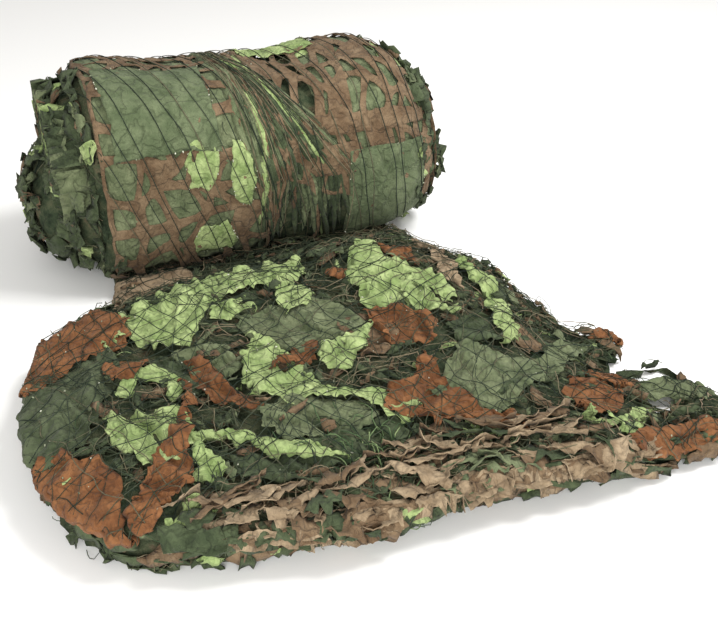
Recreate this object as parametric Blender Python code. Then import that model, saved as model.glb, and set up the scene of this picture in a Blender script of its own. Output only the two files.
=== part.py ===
"""Camouflage net, partly unrolled: a wound roll with its loose end lying folded in front of it.

Metres, +Z up. X runs along the roll, the loose end lies on the -Y side, and the floor is z = 0.
The origin is the middle of the model's footprint on the floor.
"""

import math

import bmesh
import bpy
from mathutils import Vector
from mathutils.bvhtree import BVHTree

# The roll
ROLL_Y = 0.060            # the outer turn's axis, seen from above
ROLL_Z = 0.190
ROLL_SIDES = 36
FOOT_CUT = 0.006          # the outer turn would reach this far under the floor: its flat foot
TURN_STEP = 0.008         # thickness of the outermost turn where the loose end leaves the roll
LEAVES_AT = math.radians(-62)
SKIN_STEP = 0.048         # spacing of the rings along the outer turn
CINCH = {"x": 0.09, "lean": 0.035, "depth": 0.014, "width": 0.045}

# The outer turn: x, its axis in y, half depth, lowest and highest point, squareness (2 is an ellipse)
OUTER_TURN = [
    {"x": -0.290, "y": 0.060, "half_y": 0.190, "low": 0.004, "top": 0.392, "power": 2.8},
    {"x": -0.265, "y": 0.060, "half_y": 0.198, "low": -FOOT_CUT, "top": 0.400, "power": 2.8},
    {"x": -0.100, "y": 0.060, "half_y": 0.199, "low": -FOOT_CUT, "top": 0.382, "power": 2.8},
    {"x": 0.150, "y": 0.060, "half_y": 0.199, "low": -FOOT_CUT, "top": 0.378, "power": 2.8},
    {"x": 0.310, "y": 0.060, "half_y": 0.192, "low": -FOOT_CUT, "top": 0.388, "power": 2.6},
    {"x": 0.360, "y": 0.055, "half_y": 0.174, "low": 0.009, "top": 0.371, "power": 2.4},
    {"x": 0.400, "y": 0.048, "half_y": 0.143, "low": 0.030, "top": 0.324, "power": 2.2},
]
# The turns that stand in and out at the roll's left end, from the core outwards
LEFT_TURNS = [
    {"x": -0.396, "y": 0.092, "half_y": 0.020, "low": 0.118, "top": 0.140, "power": 2.0},
    {"x": -0.404, "y": 0.092, "half_y": 0.050, "low": 0.092, "top": 0.165, "power": 2.0},
    {"x": -0.395, "y": 0.090, "half_y": 0.090, "low": 0.060, "top": 0.198, "power": 2.0},
    {"x": -0.372, "y": 0.088, "half_y": 0.112, "low": 0.040, "top": 0.228, "power": 2.2},
    {"x": -0.342, "y": 0.086, "half_y": 0.120, "low": 0.036, "top": 0.254, "power": 2.2},
    {"x": -0.298, "y": 0.084, "half_y": 0.124, "low": 0.046, "top": 0.272, "power": 2.2},
    {"x": -0.320, "y": 0.078, "half_y": 0.138, "low": 0.034, "top": 0.312, "power": 2.4},
    {"x": -0.336, "y": 0.074, "half_y": 0.152, "low": 0.024, "top": 0.346, "power": 2.4},
    {"x": -0.306, "y": 0.068, "half_y": 0.164, "low": 0.018, "top": 0.362, "power": 2.6},
    {"x": -0.272, "y": 0.064, "half_y": 0.170, "low": 0.016, "top": 0.370, "power": 2.7},
    {"x": -0.298, "y": 0.060, "half_y": 0.180, "low": 0.010, "top": 0.384, "power": 2.8},
]
# The turns at the right end, from the outer turn inwards
RIGHT_TURNS = [
    {"x": 0.420, "y": 0.046, "half_y": 0.122, "low": 0.050, "top": 0.300, "power": 2.2},
    {"x": 0.425, "y": 0.048, "half_y": 0.102, "low": 0.070, "top": 0.278, "power": 2.2},
    {"x": 0.402, "y": 0.052, "half_y": 0.084, "low": 0.088, "top": 0.260, "power": 2.1},
    {"x": 0.424, "y": 0.056, "half_y": 0.068, "low": 0.104, "top": 0.243, "power": 2.0},
    {"x": 0.430, "y": 0.060, "half_y": 0.046, "low": 0.124, "top": 0.222, "power": 2.0},
    {"x": 0.412, "y": 0.062, "half_y": 0.028, "low": 0.142, "top": 0.202, "power": 2.0},
    {"x": 0.420, "y": 0.064, "half_y": 0.013, "low": 0.157, "top": 0.186, "power": 2.0},
]

# The loose end
NET_THICK = 0.016         # one layer of garnished netting, bunched
TUCKED_Y = -0.055         # its back edge, under the roll's belly
NET_COLUMNS = 22
BOTTOM_ROWS, MIDDLE_ROWS, TOP_ROWS, FOLD_ROWS = 14, 7, 10, 3
MIDDLE_Z, TOP_Z = 0.037, 0.043    # top of the second layer and foot of the third, where no hump lifts them
HUMP_SHARED = 0.6         # how much of a hump the middle layer has too
FREE_EDGE_BACK = 0.012    # the free edge lies this far behind the front fold
GAP_CELLS = [(18, 10), (19, 11), (20, 9), (18, 8), (20, 7)]   # columns and rows left open in the single layer

# The loose end from above: y, left side, where the folded heap ends and one layer goes on, right side
NET_SIDES = [
    {"y": -0.055, "left": -0.270, "heap": 0.250, "right": 0.310},
    {"y": -0.160, "left": -0.282, "heap": 0.270, "right": 0.332},
    {"y": -0.250, "left": -0.325, "heap": 0.300, "right": 0.360},
    {"y": -0.340, "left": -0.425, "heap": 0.335, "right": 0.390},
    {"y": -0.440, "left": -0.478, "heap": 0.370, "right": 0.425},
    {"y": -0.560, "left": -0.497, "heap": 0.385, "right": 0.455},
    {"y": -0.640, "left": -0.500, "heap": 0.365, "right": 0.525},
    {"y": -0.770, "left": -0.474, "heap": 0.325, "right": 0.570},
    {"y": -0.860, "left": -0.415, "heap": 0.310, "right": 0.580},
    {"y": -0.940, "left": -0.330, "heap": 0.320, "right": 0.622},
]
# Across the loose end: column counted from the left, front fold's y, rear fold's y
HEAP_COLUMN = 17          # the column that follows the heap's right side
NET_FOLDS = [
    {"column": 0, "front": -0.850, "rear": -0.385},
    {"column": 2, "front": -0.910, "rear": -0.330},
    {"column": 6, "front": -0.935, "rear": -0.285},
    {"column": 10, "front": -0.925, "rear": -0.255},
    {"column": 13, "front": -0.935, "rear": -0.240},
    {"column": 15, "front": -0.948, "rear": -0.255},
    {"column": 17, "front": -0.955, "rear": -0.400},
    {"column": 19, "front": -0.965, "rear": -0.860},
    {"column": 21, "front": -0.955, "rear": -0.880},
]
# Humps of the folded heap: centre x, centre y, half sizes, height
HUMPS = [
    {"x": -0.16, "y": -0.37, "wide": 0.20, "deep": 0.09, "high": 0.052},
    {"x": -0.39, "y": -0.58, "wide": 0.11, "deep": 0.16, "high": 0.024},
    {"x": -0.02, "y": -0.52, "wide": 0.14, "deep": 0.12, "high": 0.040},
    {"x": -0.12, "y": -0.72, "wide": 0.18, "deep": 0.09, "high": 0.028},
    {"x": -0.33, "y": -0.76, "wide": 0.12, "deep": 0.09, "high": 0.024},
    {"x": 0.19, "y": -0.38, "wide": 0.12, "deep": 0.16, "high": 0.056},
    {"x": 0.22, "y": -0.68, "wide": 0.13, "deep": 0.10, "high": 0.022},
]
# Ridges of the single layer that shows behind and beside the heap
RIDGES = [
    {"x": 0.17, "y": -0.165, "wide": 0.15, "deep": 0.040, "high": 0.062},
    {"x": -0.19, "y": -0.185, "wide": 0.07, "deep": 0.035, "high": 0.016},
    {"x": 0.36, "y": -0.42, "wide": 0.06, "deep": 0.15, "high": 0.050},
    {"x": 0.46, "y": -0.68, "wide": 0.05, "deep": 0.06, "high": 0.026},
]

# Garnish: cloth tied on the net
CLOTH_THICK = 0.0018
CLOTH_GAP = 0.004         # a laid cloth clears what it lies on by this
CLOTH_CELL = 0.027        # size of a laid cloth's facets
CLOTH_SLOPE = 0.7         # a laid cloth falls no steeper than this, so it hangs clear of the heap's edges
PROBES = (-1.0, -0.5, 0.0, 0.5, 1.0)   # places round a cloth's point where the surface under it is felt
COLOURS = {
    "netting": (0.030, 0.045, 0.030),
    "light_green": (0.350, 0.470, 0.190),
    "mid_green": (0.130, 0.180, 0.105),
    "rust": (0.190, 0.058, 0.024),
    "taupe": (0.230, 0.130, 0.085),
}

# Cloths on the loose end, from above: centre x, centre y, width, depth, turn in degrees
LAID_CLOTHS = {
    "rust_back_left": {"cloth": "rust", "x": -0.39, "y": -0.405, "w": 0.14, "d": 0.12, "turn": 20},
    "green_left": {"cloth": "mid_green", "x": -0.425, "y": -0.59, "w": 0.12, "d": 0.17, "turn": 4},
    "rust_front_left": {"cloth": "rust", "x": -0.438, "y": -0.785, "w": 0.1, "d": 0.13, "turn": 14},
    "rust_front_point": {"cloth": "rust", "x": -0.335, "y": -0.815, "w": 0.09, "d": 0.15, "turn": -22},
    "light_left": {"cloth": "light_green", "x": -0.325, "y": -0.625, "w": 0.1, "d": 0.12, "turn": 8},
    "rust_left_small": {"cloth": "rust", "x": -0.325, "y": -0.52, "w": 0.07, "d": 0.05, "turn": -6},
    "light_long": {"cloth": "light_green", "x": -0.185, "y": -0.36, "w": 0.27, "d": 0.11, "turn": 20},
    "light_back": {"cloth": "light_green", "x": -0.015, "y": -0.385, "w": 0.09, "d": 0.06, "turn": -10},
    "green_mid": {"cloth": "mid_green", "x": -0.03, "y": -0.5, "w": 0.17, "d": 0.11, "turn": 6},
    "green_mid_left": {"cloth": "mid_green", "x": -0.205, "y": -0.515, "w": 0.08, "d": 0.1, "turn": 12},
    "light_mottled": {"cloth": "light_green", "x": -0.112, "y": -0.6, "w": 0.08, "d": 0.07, "turn": 5},
    "light_mid": {"cloth": "light_green", "x": 0.01, "y": -0.608, "w": 0.07, "d": 0.07, "turn": 20},
    "rust_strip": {"cloth": "rust", "x": -0.215, "y": -0.64, "w": 0.07, "d": 0.09, "turn": 24},
    "light_low": {"cloth": "light_green", "x": 0.015, "y": -0.718, "w": 0.08, "d": 0.1, "turn": 20},
    "green_low": {"cloth": "mid_green", "x": -0.088, "y": -0.745, "w": 0.1, "d": 0.1, "turn": -6},
    "light_strip": {"cloth": "light_green", "x": -0.205, "y": -0.745, "w": 0.13, "d": 0.06, "turn": -34},
    "light_crumple_back": {"cloth": "light_green", "x": 0.15, "y": -0.355, "w": 0.1, "d": 0.09, "turn": 4},
    "light_crumple_left": {"cloth": "light_green", "x": 0.145, "y": -0.465, "w": 0.08, "d": 0.09, "turn": -6},
    "light_crumple_right": {"cloth": "light_green", "x": 0.235, "y": -0.48, "w": 0.07, "d": 0.15, "turn": 10},
    "rust_mid_right": {"cloth": "rust", "x": 0.128, "y": -0.58, "w": 0.1, "d": 0.07, "turn": -5},
    "rust_low_right": {"cloth": "rust", "x": 0.122, "y": -0.77, "w": 0.13, "d": 0.1, "turn": -15},
    "green_right": {"cloth": "mid_green", "x": 0.275, "y": -0.715, "w": 0.18, "d": 0.12, "turn": 8},
    "rust_right": {"cloth": "rust", "x": 0.395, "y": -0.795, "w": 0.11, "d": 0.09, "turn": 10},
    "light_right": {"cloth": "light_green", "x": 0.36, "y": -0.885, "w": 0.15, "d": 0.045, "turn": 8},
    "green_right_end": {"cloth": "mid_green", "x": 0.53, "y": -0.84, "w": 0.1, "d": 0.09, "turn": -30},
    "rust_right_tip": {"cloth": "rust", "x": 0.5, "y": -0.66, "w": 0.06, "d": 0.06, "turn": 20},
    "rust_front_right": {"cloth": "rust", "x": 0.45, "y": -0.935, "w": 0.22, "d": 0.04, "turn": -3},
    "taupe_front_right": {"cloth": "taupe", "x": 0.125, "y": -0.902, "w": 0.28, "d": 0.08, "turn": -2},
    "taupe_front_left": {"cloth": "taupe", "x": -0.2, "y": -0.9, "w": 0.23, "d": 0.075, "turn": 2},
    "taupe_under_roll": {"cloth": "taupe", "x": -0.225, "y": -0.205, "w": 0.1, "d": 0.09, "turn": 0},
    "taupe_right_side": {"cloth": "taupe", "x": 0.29, "y": -0.375, "w": 0.05, "d": 0.16, "turn": 14},
    "light_strip_right": {"cloth": "light_green", "x": 0.34, "y": -0.52, "w": 0.06, "d": 0.18, "turn": 12},
    "green_standing": {"cloth": "mid_green", "x": 0.4, "y": -0.49, "w": 0.045, "d": 0.09, "turn": 10},
}
# Cloths on the roll: x, angle round it (0 faces the loose end, 90 is the top), width, arc, facets along it
ROLL_CLOTHS = {
    "roll_taupe_left": {"cloth": "taupe", "x": -0.125, "angle": 75, "w": 0.29, "arc": 235, "rows": 22},
    "roll_taupe_right": {"cloth": "taupe", "x": 0.22, "angle": 95, "w": 0.32, "arc": 165, "rows": 16},
    "roll_green_left": {"cloth": "mid_green", "x": -0.155, "angle": 53, "w": 0.18, "arc": 46, "rows": 5},
    "roll_green_right": {"cloth": "mid_green", "x": 0.29, "angle": -12, "w": 0.15, "arc": 42, "rows": 5},
    "roll_light_top": {"cloth": "light_green", "x": 0.13, "angle": 108, "w": 0.15, "arc": 30, "rows": 3},
    "roll_green_back": {"cloth": "mid_green", "x": 0.02, "angle": 165, "w": 0.19, "arc": 50, "rows": 5},
    "roll_rust_back": {"cloth": "rust", "x": 0.27, "angle": 196, "w": 0.16, "arc": 34, "rows": 4},
    "roll_light_back": {"cloth": "light_green", "x": -0.19, "angle": 178, "w": 0.12, "arc": 30, "rows": 3},
}


def clear_scene():
    for thing in list(bpy.data.objects):
        bpy.data.objects.remove(thing)


def cloth_material(name):
    """A matt cloth or twine of one of the net's colours."""
    material = bpy.data.materials.get(name)
    if material is None:
        material = bpy.data.materials.new(name)
        material.use_nodes = True
        shader = material.node_tree.nodes["Principled BSDF"]
        shader.inputs["Base Color"].default_value = (*COLOURS[name], 1.0)
        shader.inputs["Roughness"].default_value = 0.9
        shader.inputs["Metallic"].default_value = 0.0
    return material


def finished(bm, name, material_name):
    """The bmesh as a named object with its material."""
    mesh = bpy.data.meshes.new(name)
    bm.to_mesh(mesh)
    bm.free()
    piece = bpy.data.objects.new(name, mesh)
    bpy.context.scene.collection.objects.link(piece)
    mesh.materials.append(cloth_material(material_name))
    mesh.shade_smooth()
    return piece


def thicken(piece, thickness, direction):
    """Turns a sheet so that its first face looks along a direction, and thickens it on that side."""
    if piece.data.polygons[0].normal.dot(direction) < 0:
        piece.data.flip_normals()
    solid = piece.modifiers.new("thickness", "SOLIDIFY")
    solid.thickness = thickness
    solid.offset = 1.0
    solid.use_rim = True


def eased(rows, key, at, column):
    """A smooth reading of a table's column between its rows, which are in the order of key."""
    ordered = sorted(rows, key=lambda row: row[key])
    if at <= ordered[0][key]:
        return ordered[0][column]
    for low, high in zip(ordered, ordered[1:]):
        if at <= high[key]:
            share = (at - low[key]) / (high[key] - low[key])
            share = share * share * (3 - 2 * share)
            return low[column] + (high[column] - low[column]) * share
    return ordered[-1][column]


# ---- the roll ----

def turn_ring(turn, wound=0.0):
    """One ring of points round a turn. wound is 1 where the outermost turn's step, lumps and cinch show."""
    middle_z = (turn["low"] + turn["top"]) / 2
    half_z = (turn["top"] - turn["low"]) / 2
    ring = []
    for side in range(ROLL_SIDES):
        angle = math.tau * side / ROLL_SIDES
        across, up = abs(math.cos(angle)) / turn["half_y"], abs(math.sin(angle)) / half_z
        radius = (across ** turn["power"] + up ** turn["power"]) ** (-1 / turn["power"])
        step = TURN_STEP * (1 - ((angle - LEAVES_AT) / math.tau) % 1.0)
        cinch_x = CINCH["x"] + CINCH["lean"] * math.sin(angle)
        cinch = CINCH["depth"] * math.exp(-(((turn["x"] - cinch_x) / CINCH["width"]) ** 2))
        lumps = 0.0035 * math.sin(3 * angle + 9 * turn["x"])
        lumps += 0.0025 * math.sin(5 * angle - 14 * turn["x"] + 1.0)
        radius += wound * (lumps - step - cinch)
        y = turn["y"] - radius * math.cos(angle)
        z = max(0.0, middle_z + radius * math.sin(angle))
        ring.append(Vector((turn["x"], y, z)))
    return ring


def outer_turn_at(x):
    """The outer turn's row at any x between its ends."""
    row = {key: eased(OUTER_TURN, "x", x, key) for key in ("y", "half_y", "low", "top", "power")}
    row["x"] = x
    return row


def make_roll():
    """The wound net as one solid: the outer turn, and the turns that stand in and out at each end."""
    first_x, last_x = OUTER_TURN[0]["x"], OUTER_TURN[-1]["x"]
    steps = round((last_x - first_x) / SKIN_STEP)
    along = [first_x + (last_x - first_x) * step / steps for step in range(steps + 1)]
    along.insert(1, OUTER_TURN[1]["x"])
    rings = [turn_ring(turn) for turn in LEFT_TURNS]
    rings += [turn_ring(outer_turn_at(x), wound=1.0) for x in along]
    rings += [turn_ring(turn) for turn in RIGHT_TURNS]
    bm = bmesh.new()
    loops = [[bm.verts.new(point) for point in ring] for ring in rings]
    for near, far in zip(loops, loops[1:]):
        for side in range(ROLL_SIDES):
            ahead = (side + 1) % ROLL_SIDES
            bm.faces.new((near[side], near[ahead], far[ahead], far[side]))
    for loop in (loops[0], loops[-1]):
        cap = bm.faces.new(loop)
        bmesh.ops.poke(bm, faces=[cap])
    bmesh.ops.recalc_face_normals(bm, faces=bm.faces)
    return finished(bm, "net_roll", "netting")


# ---- the loose end ----

def swell(rows, x, y):
    """Height that a table of rounded mounds adds at a place."""
    height = 0.0
    for hump in rows:
        far = ((x - hump["x"]) / hump["wide"]) ** 2 + ((y - hump["y"]) / hump["deep"]) ** 2
        height = max(height, hump["high"] * math.exp(-far))
    return height


def wrinkle(x, y):
    """Small pleats that run mostly front to back, never below zero."""
    return 0.004 * (1 + math.sin(38 * x + 9 * y)) + 0.003 * (1 + math.sin(31 * y - 12 * x + 2.0))


def net_rows():
    """The sheet's rows from its tucked edge to its free one, as (layer, share along that layer)."""
    rows = [("bottom", i / (BOTTOM_ROWS - 1)) for i in range(BOTTOM_ROWS)]
    rows += [("front_fold", (i + 1) / (FOLD_ROWS + 1)) for i in range(FOLD_ROWS)]
    rows += [("middle", i / (MIDDLE_ROWS - 1)) for i in range(MIDDLE_ROWS)]
    rows += [("rear_fold", (i + 1) / (FOLD_ROWS + 1)) for i in range(FOLD_ROWS)]
    rows += [("top", i / (TOP_ROWS - 1)) for i in range(TOP_ROWS)]
    return rows


def net_x(column, y):
    """Where a column of the sheet lies at a given y: evenly up to the heap's side, evenly again beyond it."""
    left = eased(NET_SIDES, "y", y, "left")
    heap = eased(NET_SIDES, "y", y, "heap")
    if column <= HEAP_COLUMN:
        return left + (heap - left) * column / HEAP_COLUMN
    right = eased(NET_SIDES, "y", y, "right")
    return heap + (right - heap) * (column - HEAP_COLUMN) / (NET_COLUMNS - 1 - HEAP_COLUMN)


def net_point(column, layer, along):
    """A point of the loose end. along runs from 0 to 1 the way the sheet does, from roll to free edge."""
    front = eased(NET_FOLDS, "column", column, "front")
    rear = eased(NET_FOLDS, "column", column, "rear")
    flat_end = front + MIDDLE_Z / 2
    if layer == "bottom":
        y = TUCKED_Y + (flat_end - TUCKED_Y) * along
    elif layer == "front_fold":
        y = flat_end - MIDDLE_Z / 2 * math.sin(math.pi * along)
    elif layer == "middle":
        y = flat_end + (rear - flat_end) * along
    elif layer == "rear_fold":
        y = rear + (TOP_Z - MIDDLE_Z) / 2 * math.sin(math.pi * along)
    else:
        y = rear + (front - FREE_EDGE_BACK - rear) * along
    x = net_x(column, y)
    hump = swell(HUMPS, x, y)
    middle_z = MIDDLE_Z + HUMP_SHARED * hump
    top_z = TOP_Z + hump + wrinkle(x, y)
    if layer == "bottom":
        uncovered = min(1.0, max(0.0, (y - rear - 0.03) / 0.05)) * min(1.0, (TUCKED_Y - y) / 0.05)
        z = uncovered * (swell(RIDGES, x, y) + 0.5 * wrinkle(x, y))
    elif layer == "front_fold":
        z = middle_z * (1 - math.cos(math.pi * along)) / 2
    elif layer == "middle":
        z = middle_z
    elif layer == "rear_fold":
        z = middle_z + (top_z - middle_z) * (1 - math.cos(math.pi * along)) / 2
    else:
        z = top_z
    return Vector((x, y, z))


def make_loose_end():
    """The loose end as one back-and-forth sheet, with open gaps in its single layer."""
    rows = net_rows()
    bm = bmesh.new()
    bmesh.ops.create_grid(bm, x_segments=NET_COLUMNS - 1, y_segments=len(rows) - 1, size=0.5)
    for vert in bm.verts:
        column = round((vert.co.x + 0.5) * (NET_COLUMNS - 1))
        row = round((vert.co.y + 0.5) * (len(rows) - 1))
        vert.co = net_point(column, *rows[row])
    bm.verts.ensure_lookup_table()
    bm.faces.ensure_lookup_table()
    gaps = [bm.faces[row * (NET_COLUMNS - 1) + column] for column, row in GAP_CELLS]
    bmesh.ops.delete(bm, geom=gaps, context="FACES")
    sheet = finished(bm, "net_loose_end", "netting")
    thicken(sheet, NET_THICK, Vector((0, 0, 1)))
    return sheet


# ---- the garnish ----

def tree_of(piece):
    """What a cloth is laid on, as the viewport shows it."""
    bpy.context.view_layer.update()
    return BVHTree.FromObject(piece, bpy.context.evaluated_depsgraph_get())


def laid_height(trees, x, y, reach):
    """The highest surface under a small square round a place; the floor where there is none."""
    highest = 0.0
    for step_x in PROBES:
        for step_y in PROBES:
            for tree in trees:
                above = Vector((x + step_x * reach, y + step_y * reach, 1.0))
                hit = tree.ray_cast(above, Vector((0, 0, -1)))[0]
                if hit is not None:
                    highest = max(highest, hit.z)
    return highest


def laid_radius(trees, x, angle, reach):
    """The outermost surface near a place on the roll, measured from its axis."""
    widest = 0.0
    for step_x in PROBES:
        for step_turn in PROBES:
            turned = angle + step_turn * reach / OUTER_TURN[0]["half_y"]
            outward = Vector((0, -math.cos(turned), math.sin(turned)))
            axis_point = Vector((x + step_x * reach, ROLL_Y, ROLL_Z))
            for tree in trees:
                hit = tree.ray_cast(axis_point + outward * 0.5, -outward)[0]
                if hit is not None:
                    widest = max(widest, (hit - axis_point).length)
    return widest


def bowed(share_x, share_y, number):
    """Offsets that make a cut rectangle uneven: bowed sides and pulled corners. Shares run from -1 to 1."""
    side_x = 0.10 * math.sin(2.1 * share_y + number) * abs(share_x)
    side_y = 0.12 * math.sin(2.4 * share_x + 1.7 * number) * abs(share_y)
    return side_x, side_y


def make_laid_cloth(name, row, number, trees):
    """A cut cloth lying on the loose end."""
    columns = max(3, round(row["w"] / CLOTH_CELL))
    rows = max(2, round(row["d"] / CLOTH_CELL))
    reach = max(row["w"] / columns, row["d"] / rows)
    turn = math.radians(row["turn"])
    bm = bmesh.new()
    bmesh.ops.create_grid(bm, x_segments=columns, y_segments=rows, size=1.0)
    for vert in bm.verts:
        bow_x, bow_y = bowed(vert.co.x, vert.co.y, number)
        along = (vert.co.x + bow_x) * row["w"] / 2
        across = (vert.co.y + bow_y) * row["d"] / 2
        x = row["x"] + along * math.cos(turn) - across * math.sin(turn)
        y = row["y"] + along * math.sin(turn) + across * math.cos(turn)
        vert.co = Vector((x, y, laid_height(trees, x, y, reach) + CLOTH_GAP))
    for _ in range(columns + rows):
        for edge in bm.edges:
            low, high = sorted(edge.verts, key=lambda vert: vert.co.z)
            low.co.z = max(low.co.z, high.co.z - CLOTH_SLOPE * (low.co - high.co).xy.length)
    piece = finished(bm, "cloth_" + name, row["cloth"])
    thicken(piece, CLOTH_THICK, Vector((0, 0, 1)))
    return piece


def make_roll_cloth(name, row, number, trees):
    """A cut cloth wrapped on the roll."""
    columns = max(3, round(row["w"] / 0.045))
    reach = 0.5 * row["w"] / columns
    arc = math.radians(row["arc"])
    bm = bmesh.new()
    bmesh.ops.create_grid(bm, x_segments=columns, y_segments=row["rows"], size=1.0)
    for vert in bm.verts:
        bow_x, bow_y = bowed(vert.co.x, vert.co.y, number)
        x = row["x"] + (vert.co.x + 0.4 * bow_x) * row["w"] / 2
        angle = math.radians(row["angle"]) + (vert.co.y + 0.3 * bow_y) * arc / 2
        outward = Vector((0, -math.cos(angle), math.sin(angle)))
        radius = laid_radius(trees, x, angle, reach) + CLOTH_GAP
        vert.co = Vector((x, ROLL_Y, ROLL_Z)) + outward * radius
    piece = finished(bm, "cloth_" + name, row["cloth"])
    first = piece.data.polygons[0].center
    thicken(piece, CLOTH_THICK, first - Vector((first.x, ROLL_Y, ROLL_Z)))
    return piece


def centre_on_floor(pieces):
    """Moves the model so that the origin is the middle of its footprint."""
    bpy.context.view_layer.update()
    graph = bpy.context.evaluated_depsgraph_get()
    corners = [Vector(c) for piece in pieces for c in piece.evaluated_get(graph).bound_box]
    middle_x = (min(c.x for c in corners) + max(c.x for c in corners)) / 2
    middle_y = (min(c.y for c in corners) + max(c.y for c in corners)) / 2
    for piece in pieces:
        piece.location = (-middle_x, -middle_y, 0.0)
    print("origin moved by", round(middle_x, 5), round(middle_y, 5))


def main():
    clear_scene()
    roll = make_roll()
    loose_end = make_loose_end()
    pieces = [roll, loose_end]
    under = [tree_of(loose_end)]
    for number, (name, row) in enumerate(LAID_CLOTHS.items()):
        cloth = make_laid_cloth(name, row, number, under)
        under.append(tree_of(cloth))
        pieces.append(cloth)
    under = [tree_of(roll)]
    for number, (name, row) in enumerate(ROLL_CLOTHS.items()):
        cloth = make_roll_cloth(name, row, number, under)
        under.append(tree_of(cloth))
        pieces.append(cloth)
    centre_on_floor(pieces)


main()
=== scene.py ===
# Camouflage net, partly unrolled: the looks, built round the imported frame
import math
import random
import time

import bmesh
import bpy
import numpy as np
from mathutils import Euler, Matrix, Vector, noise
from mathutils.bvhtree import BVHTree


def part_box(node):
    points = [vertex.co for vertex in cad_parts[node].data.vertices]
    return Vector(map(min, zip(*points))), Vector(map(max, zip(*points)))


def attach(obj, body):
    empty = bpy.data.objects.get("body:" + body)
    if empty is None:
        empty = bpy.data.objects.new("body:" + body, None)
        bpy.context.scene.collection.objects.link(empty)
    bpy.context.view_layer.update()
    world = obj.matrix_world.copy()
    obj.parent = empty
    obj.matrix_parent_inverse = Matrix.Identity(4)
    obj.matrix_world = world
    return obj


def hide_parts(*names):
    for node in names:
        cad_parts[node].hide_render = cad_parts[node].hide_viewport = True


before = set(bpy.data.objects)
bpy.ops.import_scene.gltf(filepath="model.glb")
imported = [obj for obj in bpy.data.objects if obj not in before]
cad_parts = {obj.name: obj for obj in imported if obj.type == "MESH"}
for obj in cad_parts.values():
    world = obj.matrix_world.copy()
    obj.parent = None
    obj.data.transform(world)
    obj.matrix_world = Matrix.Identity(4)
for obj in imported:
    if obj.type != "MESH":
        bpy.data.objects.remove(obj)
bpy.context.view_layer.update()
startTime = time.time()


def report(stageName):
    print("stage", stageName, round(time.time() - startTime, 1), "s", flush=True)


# Where things are, from the frame.

heapLow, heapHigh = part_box("net_loose_end")
rollLow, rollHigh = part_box("net_roll")
rollMiddle = (rollLow + rollHigh) / 2
up, down = Vector((0, 0, 1)), Vector((0, 0, -1))


def newObject(name, data):
    made = bpy.data.objects.new(name, data)
    bpy.context.scene.collection.objects.link(made)
    return made


def treeOf(objects):
    # one search tree over several meshes as they stand
    verts, faces = [], []
    for obj in objects:
        first = len(verts)
        verts += [v.co for v in obj.data.vertices]
        faces += [[first + i for i in p.vertices] for p in obj.data.polygons]
    return BVHTree.FromPolygons(verts, faces)


def heightAt(tree, x, y):
    hit = tree.ray_cast(Vector((x, y, 1.0)), down)[0]
    return None if hit is None else hit.z


rollRadius = 0.195     # typical radius of the roll, for lengths measured round it
floorClear = 0.0015    # how far cloth stays over the floor
creaseGain = 2.4       # how sharply the crests of a crease noise stand


def grain(x, y, z):
    # smooth noise at a place, between -1 and 1
    return noise.noise(Vector((x, y, z)))


def ridged(x, y, z, gain=creaseGain):
    # a noise with sharp crests: 1 along each crest, falling to both sides
    return 1.0 - gain * abs(grain(x, y, z))


def outwardOn(angle):
    # the direction away from the roll's axis; 0 faces the loose end and a quarter turn is the top
    return Vector((0, -math.cos(angle), math.sin(angle)))


def radiusAt(tree, x, angle):
    axisPoint = Vector((x, rollMiddle.y, rollMiddle.z))
    outward = outwardOn(angle)
    hit = tree.ray_cast(axisPoint + outward * 0.6, -outward)[0]
    return None if hit is None else (hit - axisPoint).dot(outward)


def rollPoint(x, angle, radius):
    point = Vector((x, rollMiddle.y, rollMiddle.z)) + outwardOn(angle) * radius
    point.z = max(point.z, floorClear)
    return point


# Camera, floor and light.

studio = {
    "cameraFromMiddle": (-0.539, -1.538, 1.0),   # metres from the middle of the footprint
    "azimuth": -22.0,
    "pitch": 31.5,
    "lens": 50.0,
    "floorSize": 12.0,
    "floorColour": (0.92, 0.915, 0.90, 1.0),
    "floorRoughness": 0.9,
    "skyColour": (1.0, 0.99, 0.97, 1.0),
    "skyStrength": 0.66,
    "keyPower": 92.0,
    "keyPlace": (1.5, -0.5, 2.7),
    "keySize": 1.2,
    "fillPower": 112.0,
    "fillPlace": (-1.3, -2.9, 1.1),
    "fillSize": 2.4,
}


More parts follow.
